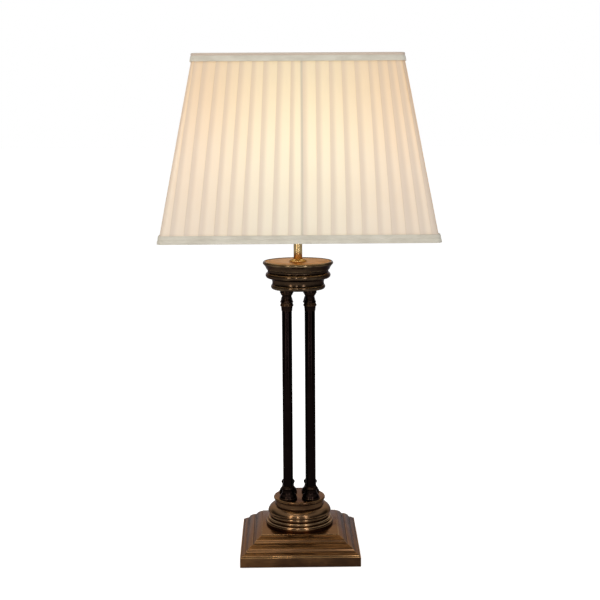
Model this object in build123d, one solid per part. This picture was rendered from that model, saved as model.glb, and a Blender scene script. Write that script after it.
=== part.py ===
from build123d import *
import os
from math import atan2, cos, degrees, hypot, pi, radians, sin, sqrt

# Column table lamp: a square stepped plinth, a ringed pedestal, four slim columns and a
# ringed capital in antique brass, under a square tapered shade of knife-pleated fabric.
# All sizes are in millimetres.  Z is up, the front of the lamp faces -Y and the origin is
# on the table, under the centre of the plinth.

# ---------------------------------------------------------------- plinth
felt_thickness = 2.0
felt_inset = 3.5
rim_gap = 0.8
base_plate_thickness = 2.5
plate_clearance = 0.3
plinth_side = 166.0
plinth_wall = 3.0
plinth_face_top = 15.0
plinth_edge_round = 0.8
edge_ledge = 2.4
bead_riser = 0.8
bead_run = 4.2
bead_rise = 2.6
lower_cove_run = 3.2
lower_cove_rise = 4.0
lower_ovolo_run = 6.8
lower_ovolo_rise = 5.0
upper_ledge = 1.2
upper_cove_run = 3.6
upper_cove_rise = 3.8
upper_ovolo_run = 7.4
upper_ovolo_rise = 5.2
platform_riser = 0.8
platform_ledge = 0.8
moulding_bulge = 0.45
weight_side = 116.0
weight_height = 14.0
weight_bore_radius = 36.0
boss_radius = 5.0
boss_inset = 17.0
screw_radius = 2.0
screw_head_radius = 3.8
screw_head_height = 2.0
screw_length = 12.0
thread_gap = 0.05

# ---------------------------------------------------------------- cable inlet
cable_bore_radius = 3.3
bush_wall = 0.9
bush_flange_radius = 5.2
bush_flange_thickness = 1.6
bush_inner_length = 2.4
bush_height = 9.0

# ---------------------------------------------------------------- pedestal
lower_torus_radius = 48.2
lower_torus_height = 6.7
middle_ring_radius = 45.2
middle_ring_height = 4.8
upper_ring_radius = 42.6
upper_ring_height = 4.9
ring_groove = 1.1
shoulder_radius = 44.7
shoulder_lip = 1.9
shoulder_round = 8.9
drum_radius = 34.4
drum_top_height = 6.9
pedestal_wall = 3.3
column_plate_radius = 36.4
column_plate_thickness = 4.8
column_plate_round = 1.9

# ---------------------------------------------------------------- columns
column_offset = 16.0
column_height = 298.1
shaft_radius = 7.0
shaft_bore_radius = 6.0
shaft_fit = 0.03
socket_depth = 4.0
foot_radius = 12.6
foot_disc_height = 2.4
foot_step_radius = 12.2
foot_ogee_radius = 10.3
foot_ogee_height = 4.0
foot_flare_height = 4.4
foot_neck_radius = 8.4
foot_neck_height = 2.3
foot_collar_radius = 9.65
foot_collar_height = 4.6
foot_taper_height = 1.1
socket_wall = 0.6
capital_disc_radius = 9.3
capital_disc_height = 4.0
capital_step_radius = 8.2
capital_step_height = 1.9
capital_flare_height = 3.1
capital_neck_radius = 6.4
capital_neck_height = 3.3
capital_vase_radius = 8.1
capital_vase_height = 5.0
capital_groove = 0.6
capital_bead_radius = 8.6
capital_bead_height = 1.7
capital_ring_radius = 9.35
capital_ring_height = 2.6
capital_taper_height = 4.6
capital_band_height = 1.8

# ---------------------------------------------------------------- clamping tubes and nuts
rod_radius = 5.0
rod_bore_radius = 4.1
rod_hole_clearance = 0.3
rod_end_spare = 2.0
nut_across_flats = 14.0
nut_height = 5.0
washer_radius = 8.0
washer_thickness = 1.2

# ---------------------------------------------------------------- capital block under the stem
entablature_floor = 4.0
entablature_wall = 3.0
base_torus_radius = 37.7
base_torus_foot_radius = 35.6
base_torus_height = 6.2
lower_cove_radius = 35.9
lower_cove_height = 7.5
torus_foot_radius = 40.4
torus_foot_rise = 1.5
entablature_torus_radius = 45.0
entablature_torus_height = 7.8
waist_radius = 42.3
waist_height = 4.0
crown_foot_radius = 43.8
crown_height = 7.4
rim_radius = 48.9
rim_foot_radius = 48.1
rim_height = 4.3
rim_width = 2.5
top_plate_thickness = 1.8
top_plate_recess = 0.6
top_plate_ledge = 3.0
top_plate_fit = 0.05

# ---------------------------------------------------------------- stem and lampholder
stem_radius = 6.0
stem_length = 61.8
stem_seat_radius = 11.5
stem_seat_height = 3.4
nipple_bore_radius = 3.9
nipple_fit = 0.06
nipple_grip = 14.0
holder_wall = 1.2
holder_neck_radius = 9.0
holder_neck_height = 4.5
holder_entry_depth = 8.0
holder_cap_radius = 20.6
holder_dome_height = 11.5
holder_cap_rim = 3.0
holder_skirt_height = 8.6
holder_flange_radius = 22.2
holder_flange_height = 2.4
holder_thread_radius = 20.0
holder_thread_length = 30.0
insulator_gap = 0.2
terminal_block_height = 16.0
switch_bar_radius = 2.25
switch_bar_fit = 0.06
switch_bar_length = 56.0
switch_button_radius = 3.6
switch_button_length = 5.0
switch_bar_drop = 6.7
switch_travel = 4.0
screw_shell_radius = 13.7
screw_shell_wall = 0.6
screw_shell_length = 25.0
sleeve_length = 26.5
contact_length = 14.0
contact_width = 5.0
contact_height = 1.6

# ---------------------------------------------------------------- bulb
bulb_gap = 0.3
bulb_cap_radius = 13.3
bulb_cap_height = 28.1
bulb_glass_radius = 30.0
bulb_height = 109.1
bulb_neck_radius = 12.4
bulb_glass_wall = 0.9
filament_stem_radius = 4.5
filament_stem_height = 34.0
filament_lead_height = 30.0
filament_half_span = 11.0
filament_wire_radius = 0.45

# ---------------------------------------------------------------- shade carrier and its ring nut
seat_gap = 0.3
carrier_plate_radius = 31.0
carrier_plate_thickness = 1.2
carrier_ring_radius = 47.5
carrier_wire_radius = 1.5
carrier_height = 127.0
carrier_knee_height = 26.0
carrier_bend_radius = 14.0
carrier_wire_count = 4
ring_nut_radius = 26.0
ring_nut_height = 7.0
ring_nut_fit = 0.06
ring_nut_notches = 12
ring_nut_notch_radius = 1.2

# ---------------------------------------------------------------- shade
shade_bottom_height = 455.0
shade_height = 235.0
shade_bottom_side = 355.6
shade_top_side = 268.0
shade_corner_radius = 9.0
trim_height = 10.5
trim_wall = 1.5
trim_inner_wall = 1.2
trim_inner_drop = 2.5
cloth_gap = 0.12
pleats_per_side = 18
pleat_depth = 1.85
pleat_fold_share = 0.12
pleat_backing = 0.7
frame_wire_radius = 1.8
strut_radius = 1.5
lining_thickness = 0.6
duplex_ring_reach = 4.0
duplex_lip_wall = 1.9
duplex_ring_thickness = 1.5
duplex_lip_drop = 2.8
duplex_arm_radius = 1.5

# ---------------------------------------------------------------- heights worked out from the sizes
plinth_half = plinth_side / 2
base_plate_top = felt_thickness + base_plate_thickness
platform_height = (
    plinth_face_top + bead_riser + bead_rise + lower_cove_rise + lower_ovolo_rise
    + upper_cove_rise + upper_ovolo_rise + platform_riser
)
roof_height = platform_height - plinth_wall
middle_ring_base = platform_height + lower_torus_height + ring_groove / 2
upper_ring_base = middle_ring_base + middle_ring_height
shoulder_base = upper_ring_base + upper_ring_height + ring_groove / 2
drum_base = shoulder_base + shoulder_lip + shoulder_round
pedestal_top = drum_base + drum_top_height
column_base = pedestal_top + column_plate_thickness
column_top = column_base + column_height
foot_top = (
    column_base + foot_disc_height + foot_ogee_height + foot_flare_height
    + foot_neck_height + foot_collar_height + foot_taper_height
)
capital_height = (
    capital_disc_height + capital_step_height + capital_flare_height + capital_neck_height
    + capital_vase_height + capital_groove + capital_bead_height + capital_ring_height
    + capital_taper_height + capital_band_height
)
capital_base = column_top - capital_height
entablature_floor_top = column_top + entablature_floor
entablature_top = (
    column_top + base_torus_height + lower_cove_height + torus_foot_rise
    + entablature_torus_height + waist_height + crown_height + rim_height
)
top_plate_top = entablature_top - top_plate_recess
top_plate_base = top_plate_top - top_plate_thickness
stem_base = top_plate_top + stem_seat_height
stem_top = stem_base + stem_length
holder_rim = stem_top + holder_neck_height + holder_dome_height + holder_cap_rim
flange_top = holder_rim + holder_skirt_height + holder_flange_height
holder_top = flange_top + holder_thread_length
block_top = flange_top + seat_gap + carrier_plate_thickness * 2
switch_height = flange_top - switch_bar_drop
bulb_base = block_top + contact_height + bulb_gap
bulb_cap_top = bulb_base + bulb_cap_height
bulb_centre = bulb_base + bulb_height - bulb_glass_radius
carrier_base = flange_top + seat_gap
carrier_plate_top = carrier_base + carrier_plate_thickness
carrier_ring_height = carrier_base + carrier_height
duplex_base = carrier_ring_height + carrier_wire_radius + seat_gap
shade_top_height = shade_bottom_height + shade_height
shade_slope = (shade_bottom_side - shade_top_side) / 2 / shade_height

# Depths of the shade's layers, measured inwards and level from the face of its trims.
pleat_peak_depth = trim_wall + cloth_gap
pleat_valley_depth = pleat_peak_depth + pleat_depth
cloth_inner_depth = pleat_valley_depth + pleat_backing
wire_depth = cloth_inner_depth + cloth_gap + frame_wire_radius
strut_depth = cloth_inner_depth + cloth_gap + strut_radius
lining_outer_depth = cloth_inner_depth + 2 * cloth_gap + 2 * frame_wire_radius
lining_inner_depth = lining_outer_depth + lining_thickness
trim_inner_depth = lining_inner_depth + cloth_gap
cloth_base = shade_bottom_height + trim_wall + cloth_gap
cloth_top = shade_top_height - trim_wall - cloth_gap
lower_wire_height = cloth_base + frame_wire_radius
upper_wire_height = cloth_top - frame_wire_radius

# The duplex fitting's lip passes round the gallery's wire, and its ring reaches in over it.
duplex_lip_inner_radius = carrier_ring_radius + carrier_wire_radius + 2 * seat_gap
duplex_ring_outer_radius = duplex_lip_inner_radius + duplex_lip_wall
duplex_ring_inner_radius = carrier_ring_radius - duplex_ring_reach

# Centre line of an arm of the duplex fitting and the notches that it passes through.
arm_start = duplex_ring_outer_radius - duplex_arm_radius
arm_foot = duplex_base + duplex_ring_thickness / 2
arm_end = shade_top_side / 2 + shade_slope * (shade_top_height - upper_wire_height) - wire_depth
arm_run = arm_end - arm_start
arm_rise = upper_wire_height - arm_foot
arm_slope = arm_rise / arm_run
arm_half_height = duplex_arm_radius * hypot(arm_run, arm_rise) / arm_run
arm_notch_reach = trim_inner_depth + trim_inner_wall - wire_depth + 1
arm_notch_low = upper_wire_height - arm_notch_reach * arm_slope - arm_half_height - cloth_gap
arm_notch_high = upper_wire_height + arm_half_height - arm_slope * frame_wire_radius

column_places = {
    "front_left": (-column_offset, -column_offset),
    "front_right": (column_offset, -column_offset),
    "rear_left": (-column_offset, column_offset),
    "rear_right": (column_offset, column_offset),
}


def section(start, *steps):
    """Closed half section in the XZ plane, run with the material on its left.  A step is
    (radius, height), or (radius, height, bulge) for an arc that swells out of the material."""
    edges = []
    here = start
    for step in steps:
        there = step[:2]
        if len(step) == 3:
            edges.append(SagittaArc(here, there, -step[2]))
        else:
            edges.append(Line(here, there))
        here = there
    edges.append(Line(here, start))
    return Plane.XZ * make_face(edges)


def turned(start, *steps):
    """Solid of revolution about the lamp's axis, from a half section."""
    return revolve(section(start, *steps), axis=Axis.Z)


def rod(radius, low, high, x=0.0, y=0.0):
    """Upright round bar between two heights."""
    bar = Cylinder(radius, high - low, align=(Align.CENTER, Align.CENTER, Align.MIN))
    return Pos(x, y, low) * bar


def tube(outer, inner, low, high, x=0.0, y=0.0):
    """Upright round tube between two heights."""
    return rod(outer, low, high, x, y) - rod(inner, low, high, x, y)


def bar_between(start, end, radius):
    """Round bar from one point to another."""
    run = Vector(*end) - Vector(*start)
    ground = Plane(origin=start, z_dir=run)
    return ground * Cylinder(radius, run.length, align=(Align.CENTER, Align.CENTER, Align.MIN))


def place_at_columns(make):
    """One compound of separate solids, one at each column."""
    solids = []
    for x, y in column_places.values():
        solids.extend((Pos(x, y, 0) * make).solids())
    return Compound(children=solids)


def hexagon_nut(low, x=0.0, y=0.0):
    """Hexagon nut whose bore clears the thread by the thread gap."""
    body = extrude(RegularPolygon(nut_across_flats / 2, 6, major_radius=False), nut_height)
    return Pos(x, y, low) * (body - rod(rod_radius + thread_gap, 0, nut_height))


def flat_washer(low):
    return tube(washer_radius, rod_radius + thread_gap, low, low + washer_thickness)


# ---------------------------------------------------------------- base
def mitred_block(half_profile):
    """Square block whose four sides carry the same moulding, mitred at the corners."""
    points_face = Plane.XZ * make_face(half_profile)
    slab = extrude(points_face, plinth_side, both=True)
    return slab & (Rot(0, 0, 90) * slab)


def moulding_side(side):
    """Moulded outline of the plinth on one side (-1 left, 1 right), from its rim upwards."""
    w = plinth_half
    z = plinth_face_top
    edges = [Line((side * w, rim_gap), (side * w, z - plinth_edge_round))]
    here = (side * w, z - plinth_edge_round)

    def go(run, rise, bulge=0.0):
        nonlocal here
        there = (here[0] - side * run, here[1] + rise)
        if bulge:
            edges.append(SagittaArc(here, there, -side * bulge))
        else:
            edges.append(Line(here, there))
        here = there

    go(plinth_edge_round, plinth_edge_round, plinth_edge_round * (1 - 1 / sqrt(2)))
    go(edge_ledge - plinth_edge_round, 0)
    go(0, bead_riser)
    go(bead_run, bead_rise, moulding_bulge)
    go(lower_cove_run, lower_cove_rise, -moulding_bulge)
    go(lower_ovolo_run, lower_ovolo_rise, moulding_bulge)
    go(upper_ledge, 0)
    go(upper_cove_run, upper_cove_rise, -moulding_bulge)
    go(upper_ovolo_run, upper_ovolo_rise, moulding_bulge)
    go(platform_ledge, 0)
    go(0, platform_riser)
    return edges, here


def make_plinth():
    """Cast stepped plinth: a hollow shell with four screw bosses, open underneath."""
    right, right_top = moulding_side(1)
    left, left_top = moulding_side(-1)
    bottom = Line((-plinth_half, rim_gap), (plinth_half, rim_gap))
    outside = mitred_block(right + [Line(right_top, left_top)] + left + [bottom])

    inner_half = plinth_half - plinth_wall
    slope_foot = plinth_face_top - plinth_wall
    roof_half = right_top[0] - plinth_wall
    hollow_points = [
        (-inner_half, rim_gap - 1),
        (inner_half, rim_gap - 1),
        (inner_half, slope_foot),
        (roof_half, roof_height),
        (-roof_half, roof_height),
        (-inner_half, slope_foot),
    ]
    hollow = mitred_block(Polyline(*hollow_points, close=True))
    shell = outside - hollow
    for x, y in screw_places():
        boss = rod(boss_radius, base_plate_top, platform_height, x, y) & outside
        shell = shell + boss
        shell = shell - rod(screw_radius + thread_gap, base_plate_top, screw_tip + 1, x, y)
    for x, y in column_places.values():
        shell = shell - rod(rod_radius + rod_hole_clearance, roof_height - 1, platform_height + 1, x, y)
    inlet_start = inner_half - bush_inner_length - thread_gap
    inlet = bush_shank(bush_radius + thread_gap, inlet_start, plinth_half + 1)
    return shell - inlet


def screw_places():
    at = plinth_half - boss_inset
    return [(x, y) for x in (-at, at) for y in (-at, at)]


screw_tip = felt_thickness + screw_length
bush_radius = cable_bore_radius + bush_wall


def countersunk_screw(x, y, extra=0.0):
    """Countersunk screw standing upwards from the underside of the base plate."""
    low = felt_thickness
    head_top = low + screw_head_height
    tip = screw_tip
    profile = turned(
        (0, low),
        (screw_head_radius + extra, low),
        (screw_radius + extra, head_top),
        (screw_radius + extra, tip),
        (0, tip),
    )
    return Pos(x, y, 0) * profile


def make_base_plate():
    """Steel plate that closes the plinth from below."""
    side = plinth_side - 2 * plinth_wall - 2 * plate_clearance
    plate = Pos(0, 0, felt_thickness) * extrude(Rectangle(side, side), base_plate_thickness)
    for x, y in screw_places():
        plate = plate - countersunk_screw(x, y, thread_gap)
    return plate


def make_base_screws():
    solids = []
    for x, y in screw_places():
        solids.extend(countersunk_screw(x, y).solids())
    return Compound(children=solids)


def make_felt_pad():
    side = plinth_side - 2 * plinth_wall - 2 * felt_inset
    return extrude(RectangleRounded(side, side, felt_inset), felt_thickness)


def make_base_weight():
    """Cast iron ballast with a hole that clears the nuts and the wiring."""
    block = RectangleRounded(weight_side, weight_side, boss_radius)
    ring = extrude(block - Circle(weight_bore_radius), weight_height)
    return Pos(0, 0, base_plate_top) * ring


def bush_shank(radius, near, far):
    """Level round bar through the plinth's back wall, between two distances from the axis."""
    return bar_between((0, near, bush_height), (0, far, bush_height), radius)


def make_cable_bush():
    """Flanged bush that lines the cable hole in the back of the plinth."""
    inner_end = plinth_half - plinth_wall - bush_inner_length
    outer_end = plinth_half + bush_flange_thickness
    bush = bush_shank(bush_radius, inner_end, plinth_half)
    bush = bush + bush_shank(bush_flange_radius, plinth_half, outer_end)
    return bush - bush_shank(cable_bore_radius, inner_end - 1, outer_end + 1)


# ---------------------------------------------------------------- pedestal
def make_pedestal():
    """Ringed pedestal: three stepped rings, a rounded shoulder and a plain drum, hollow inside."""
    z = platform_height
    cavity_wide = upper_ring_radius - pedestal_wall - ring_groove
    cavity_narrow = drum_radius - pedestal_wall
    cavity_step = shoulder_base - ring_groove
    web_base = pedestal_top - pedestal_wall
    round_foot = shoulder_base + shoulder_lip
    round_run = shoulder_radius - drum_radius
    body = turned(
        (cavity_wide, z),
        (lower_torus_radius - ring_groove, z),
        (lower_torus_radius - ring_groove, z + lower_torus_height, ring_groove),
        (middle_ring_radius - ring_groove, middle_ring_base),
        (middle_ring_radius - ring_groove, upper_ring_base - ring_groove / 2, ring_groove),
        (upper_ring_radius - ring_groove, upper_ring_base),
        (upper_ring_radius - ring_groove, shoulder_base - ring_groove / 2, ring_groove),
        (shoulder_radius - shoulder_lip, shoulder_base),
        (shoulder_radius, round_foot, shoulder_lip * (1 - 1 / sqrt(2))),
        (drum_radius, drum_base, hypot(round_run, shoulder_round) * 0.17),
        (drum_radius, pedestal_top - ring_groove / 2),
        (drum_radius + ring_groove / 2, pedestal_top),
        (0, pedestal_top),
        (0, web_base),
        (cavity_narrow, web_base),
        (cavity_narrow, cavity_step),
        (cavity_wide, cavity_step),
    )
    for x, y in column_places.values():
        body = body - rod(rod_radius + rod_hole_clearance, web_base - 1, pedestal_top + 1, x, y)
    return body


def make_column_plate():
    """Round-edged disc that the four columns stand on."""
    low = pedestal_top
    flat = column_plate_radius - column_plate_round
    disc = turned(
        (0, low),
        (flat + ring_groove / 2, low),
        (column_plate_radius, low + column_plate_round, column_plate_round * 0.2),
        (flat, column_base, column_plate_round * 0.5),
        (0, column_base),
    )
    for x, y in column_places.values():
        disc = disc - rod(rod_radius + rod_hole_clearance, low - 1, column_base + 1, x, y)
    return disc


# ---------------------------------------------------------------- columns
def make_foot():
    """Turned column foot: a disc, an ogee flare, a neck and a collar that holds the shaft."""
    bore = rod_radius + rod_hole_clearance
    socket = shaft_radius + shaft_fit
    disc_top = column_base + foot_disc_height
    ogee_top = disc_top + foot_ogee_height
    flare_top = ogee_top + foot_flare_height
    neck_top = flare_top + foot_neck_height
    collar_top = neck_top + foot_collar_height
    return turned(
        (bore, column_base),
        (foot_radius, column_base),
        (foot_radius, disc_top, foot_disc_height * 0.1),
        (foot_step_radius, disc_top),
        (foot_ogee_radius, ogee_top, foot_ogee_height * 0.06),
        (foot_neck_radius, flare_top, -foot_flare_height * 0.12),
        (foot_neck_radius, neck_top),
        (foot_neck_radius, collar_top, foot_collar_radius - foot_neck_radius),
        (socket + socket_wall, foot_top),
        (socket, foot_top),
        (socket, foot_top - socket_depth),
        (bore, foot_top - socket_depth),
    )


def make_shaft():
    return tube(shaft_radius, shaft_bore_radius, foot_top - socket_depth, capital_base + socket_depth)


def make_capital():
    """Turned column capital, upwards: band, taper, ring, bead, vase, neck, flare, step, disc."""
    bore = rod_radius + rod_hole_clearance
    socket = shaft_radius + shaft_fit
    taper_base = capital_base + capital_band_height
    ring_base = taper_base + capital_taper_height
    bead_base = ring_base + capital_ring_height
    bead_top = bead_base + capital_bead_height
    vase_base = bead_top + capital_groove
    neck_base = vase_base + capital_vase_height
    flare_base = neck_base + capital_neck_height
    step_base = flare_base + capital_flare_height
    disc_base = step_base + capital_step_height
    ring_swell = capital_ring_height * 0.46
    bead_swell = capital_bead_height * 0.46
    return turned(
        (socket, capital_base),
        (socket + socket_wall, capital_base),
        (socket + socket_wall, taper_base),
        (capital_ring_radius - ring_swell, ring_base),
        (capital_ring_radius - ring_swell, bead_base, ring_swell),
        (capital_bead_radius - bead_swell, bead_base),
        (capital_bead_radius - bead_swell, bead_top, bead_swell),
        (capital_vase_radius, vase_base),
        (capital_neck_radius, neck_base, capital_vase_height * 0.03),
        (capital_neck_radius, flare_base),
        (capital_step_radius, step_base, -capital_flare_height * 0.12),
        (capital_step_radius, disc_base - capital_groove),
        (capital_disc_radius, disc_base),
        (capital_disc_radius, column_top),
        (bore, column_top),
        (bore, capital_base + socket_depth),
        (socket, capital_base + socket_depth),
    )


# ---------------------------------------------------------------- clamping tubes, nuts, washers
lower_washer_base = roof_height - washer_thickness
lower_nut_base = lower_washer_base - nut_height
upper_washer_base = entablature_floor_top
upper_nut_base = upper_washer_base + washer_thickness
rod_low = lower_nut_base - rod_end_spare
rod_high = upper_nut_base + nut_height + rod_end_spare


def make_column_rods():
    """Hollow threaded tubes that clamp plinth, pedestal, columns and capital block together."""
    return place_at_columns(tube(rod_radius, rod_bore_radius, rod_low, rod_high))


def make_column_nuts(low):
    return place_at_columns(hexagon_nut(low))


def make_column_washers(low):
    return place_at_columns(flat_washer(low))


# ---------------------------------------------------------------- capital block
def make_entablature():
    """Ringed cup on top of the columns: base torus, cove, torus, waist and spreading crown."""
    floor = entablature_floor_top
    cove_base = column_top + base_torus_height
    cove_top = cove_base + lower_cove_height
    torus_base = cove_top + torus_foot_rise
    torus_top = torus_base + entablature_torus_height
    waist_top = torus_top + waist_height
    crown_top = waist_top + crown_height
    rim_top = crown_top + rim_height
    rim_inner = rim_radius - rim_width
    torus_chord = hypot(waist_radius + ring_groove - torus_foot_radius, entablature_torus_height)
    ledge_inner = rim_inner - top_plate_ledge
    upper_cavity = waist_radius - entablature_wall
    lower_cavity = lower_cove_radius - entablature_wall
    cup = turned(
        (0, column_top),
        (base_torus_foot_radius, column_top),
        (lower_cove_radius + 0.8, cove_base, base_torus_radius - base_torus_foot_radius - 0.4),
        (lower_cove_radius + 0.3, cove_base + 0.4),
        (lower_cove_radius + 1.1, cove_top, -0.6),
        (torus_foot_radius, torus_base),
        (waist_radius + ring_groove, torus_top, torus_chord * 0.4),
        (waist_radius, torus_top + ring_groove / 2),
        (waist_radius + ring_groove / 2, waist_top, -0.3),
        (crown_foot_radius, waist_top + ring_groove / 2),
        (rim_foot_radius, crown_top, -0.5),
        (rim_foot_radius - ring_groove / 4, rim_top, rim_radius - rim_foot_radius + 0.2),
        (rim_inner, rim_top),
        (rim_inner, top_plate_base),
        (ledge_inner, top_plate_base),
        (upper_cavity, waist_top),
        (upper_cavity, torus_base + entablature_wall),
        (lower_cavity, cove_top - ring_groove),
        (lower_cavity, floor),
        (0, floor),
    )
    for x, y in column_places.values():
        cup = cup - rod(rod_radius + rod_hole_clearance, column_top - 1, floor + 1, x, y)
    return cup


def make_top_plate():
    """Copper-toned disc pressed into the rim; the stem stands on it."""
    radius = rim_radius - rim_width - top_plate_fit
    return tube(radius, rod_radius + thread_gap, top_plate_base, top_plate_top)


# ---------------------------------------------------------------- stem
stem_washer_base = top_plate_base - washer_thickness
stem_nut_base = stem_washer_base - nut_height
nipple_low = stem_nut_base - rod_end_spare
nipple_high = stem_top + nipple_grip


def make_stem_nipple():
    return tube(rod_radius, nipple_bore_radius, nipple_low, nipple_high)


def make_stem_seat():
    """Turned brass seat that spreads the stem's foot over the top plate."""
    bore = rod_radius + nipple_fit
    return turned(
        (bore, top_plate_top),
        (stem_seat_radius, top_plate_top),
        (stem_seat_radius, top_plate_top + stem_seat_height * 0.45, stem_seat_height * 0.12),
        (stem_radius + stem_seat_height * 0.5, stem_base, -stem_seat_height * 0.15),
        (bore, stem_base),
    )


def make_stem_tube():
    return tube(stem_radius, rod_radius + nipple_fit, stem_base, stem_top)


# ---------------------------------------------------------------- lampholder
def make_holder_cap():
    """Domed brass cap of the lampholder, screwed onto the threaded tube in the stem."""
    bore = rod_radius + nipple_fit
    neck_top = stem_top + holder_neck_height
    dome_top = neck_top + holder_dome_height
    entry_top = stem_top + holder_entry_depth
    inner = holder_cap_radius - holder_wall
    bulge = hypot(holder_cap_radius - holder_neck_radius, holder_dome_height) * 0.16
    return turned(
        (bore, stem_top),
        (holder_neck_radius, stem_top),
        (holder_neck_radius, neck_top),
        (holder_cap_radius, dome_top, bulge),
        (holder_cap_radius, holder_rim),
        (inner, holder_rim),
        (inner, dome_top),
        (holder_neck_radius, entry_top, -bulge * 0.8),
        (bore, entry_top),
    )


def switch_tunnel(radius):
    half = holder_flange_radius + 1
    return bar_between((-half, 0, switch_height), (half, 0, switch_height), radius)


def make_holder_barrel():
    """Brass barrel: a plain skirt, the flange under the shade carrier and the threaded part."""
    inner = holder_thread_radius - holder_wall
    skirt_top = holder_rim + holder_skirt_height
    barrel = turned(
        (inner, holder_rim),
        (holder_cap_radius, holder_rim),
        (holder_cap_radius, skirt_top),
        (holder_flange_radius, skirt_top + holder_flange_height * 0.3),
        (holder_flange_radius, flange_top),
        (holder_thread_radius, flange_top),
        (holder_thread_radius, holder_top),
        (inner, holder_top),
    )
    return barrel - switch_tunnel(switch_bar_radius + switch_bar_fit)


def make_terminal_block():
    """Moulded block that carries the contacts; the switch bar slides through it."""
    radius = holder_thread_radius - holder_wall - insulator_gap
    block = rod(radius, block_top - terminal_block_height, block_top)
    return block - switch_tunnel(switch_bar_radius + switch_bar_fit)


def make_insulating_sleeve():
    outer = holder_thread_radius - holder_wall - insulator_gap
    inner = screw_shell_radius + screw_shell_wall + insulator_gap
    return tube(outer, inner, block_top, block_top + sleeve_length)


def make_screw_shell():
    return tube(
        screw_shell_radius + screw_shell_wall,
        screw_shell_radius,
        block_top,
        block_top + screw_shell_length,
    )


def make_centre_contact():
    """Sprung brass tongue under the bulb's tip, folded once."""
    step = contact_height / 2
    side = Polyline(
        (-contact_length / 2, 0),
        (contact_length / 2, 0),
        (contact_length / 2, step),
        (contact_width / 2, step),
        (contact_width / 2, contact_height),
        (-contact_width / 2, contact_height),
        (-contact_width / 2, step),
        (-contact_length / 2, step),
        close=True,
    )
    tongue = extrude(Plane.XZ * make_face(side), contact_width / 2, both=True)
    return Pos(0, 0, block_top) * tongue


def make_switch_bar():
    """Push-through switch bar with a button on each end, at rest pushed to the left."""
    centre = -switch_travel / 2
    half = switch_bar_length / 2
    bar = bar_between((centre - half, 0, switch_height), (centre + half, 0, switch_height), switch_bar_radius)
    for side in (-1, 1):
        inner = (centre + side * (half - switch_button_length), 0, switch_height)
        outer = (centre + side * half, 0, switch_height)
        bar = bar + bar_between(inner, outer, switch_button_radius)
    return bar


# ---------------------------------------------------------------- bulb
def make_bulb_cap():
    """Screw cap of the bulb, a cup with its contact tip at the bottom."""
    z = bulb_base
    tip = bulb_cap_radius * 0.25
    cup_floor = z + bulb_cap_radius * 0.55
    inner = bulb_neck_radius + insulator_gap / 2
    return turned(
        (0, z),
        (tip, z),
        (tip + 0.6, z + 1.4),
        (bulb_cap_radius * 0.7, z + bulb_cap_radius * 0.2),
        (bulb_cap_radius, z + bulb_cap_radius * 0.4),
        (bulb_cap_radius, bulb_cap_top),
        (inner, bulb_cap_top),
        (inner, cup_floor),
        (0, cup_floor),
    )


def make_bulb_glass():
    """Pear-shaped glass envelope: a straight neck, a hollow shoulder and a round end."""
    join = 0.8
    low = bulb_base + bulb_cap_radius * 0.55 + bulb_glass_wall
    neck_top = bulb_cap_top + bulb_glass_wall

    def shell_point(radius):
        return radius * join, bulb_centre - radius * sqrt(1 - join * join)

    def round_bulge(radius):
        x, z = shell_point(radius)
        chord = hypot(x, bulb_centre + radius - z)
        return radius - sqrt(radius * radius - chord * chord / 4)

    outer = bulb_glass_radius
    inner = bulb_glass_radius - bulb_glass_wall
    neck_inner = bulb_neck_radius - bulb_glass_wall
    return turned(
        (neck_inner, low),
        (bulb_neck_radius, low),
        (bulb_neck_radius, neck_top),
        (*shell_point(outer), -1.6),
        (0, bulb_centre + outer, round_bulge(outer)),
        (0, bulb_centre + inner),
        (*shell_point(inner), -round_bulge(inner)),
        (neck_inner, neck_top, 1.6),
    )


def make_bulb_filament():
    """Glass stem, two leads and the filament arch that joins them."""
    foot = bulb_base + bulb_cap_radius * 0.55
    stem_end = foot + filament_stem_height
    lead_end = stem_end + filament_lead_height
    mount = rod(filament_stem_radius, foot, stem_end)
    for side in (-1, 1):
        start = (side * filament_stem_radius / 2, 0, stem_end - 1)
        end = (side * filament_half_span, 0, lead_end)
        mount = mount + bar_between(start, end, filament_wire_radius)
    arch = revolve(
        Plane.XY * (Pos(filament_half_span, 0) * Circle(filament_wire_radius)),
        axis=Axis.Y,
        revolution_arc=-180,
    )
    return mount + Pos(0, 0, lead_end) * arch


# ---------------------------------------------------------------- shade carrier
def make_carrier_plate():
    """Flat ring of the shade carrier, held between the flange and the ring nut."""
    bore = holder_thread_radius + seat_gap
    return tube(carrier_plate_radius, bore, carrier_base, carrier_plate_top)


def make_carrier_wires():
    """Bent wires that rise from the plate, round the bulb, to the gallery ring."""
    solids = []
    foot = carrier_plate_radius - carrier_wire_radius
    ring_foot = carrier_ring_height - carrier_wire_radius
    route = FilletPolyline(
        (foot, 0, carrier_plate_top),
        (foot, 0, carrier_plate_top + carrier_bend_radius * 0.6),
        (carrier_ring_radius, 0, carrier_base + carrier_knee_height),
        (carrier_ring_radius, 0, ring_foot),
        radius=[carrier_bend_radius * 0.5, carrier_bend_radius],
    )
    wire = sweep(Plane(origin=route @ 0, z_dir=route % 0) * Circle(carrier_wire_radius), path=route)
    for index in range(carrier_wire_count):
        turn = 45 + 360 * index / carrier_wire_count
        solids.extend((Rot(0, 0, turn) * wire).solids())
    return Compound(children=solids)


def make_carrier_ring():
    """Gallery ring on the wires; the shade rests on it."""
    return Pos(0, 0, carrier_ring_height) * Torus(carrier_ring_radius, carrier_wire_radius)


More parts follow.
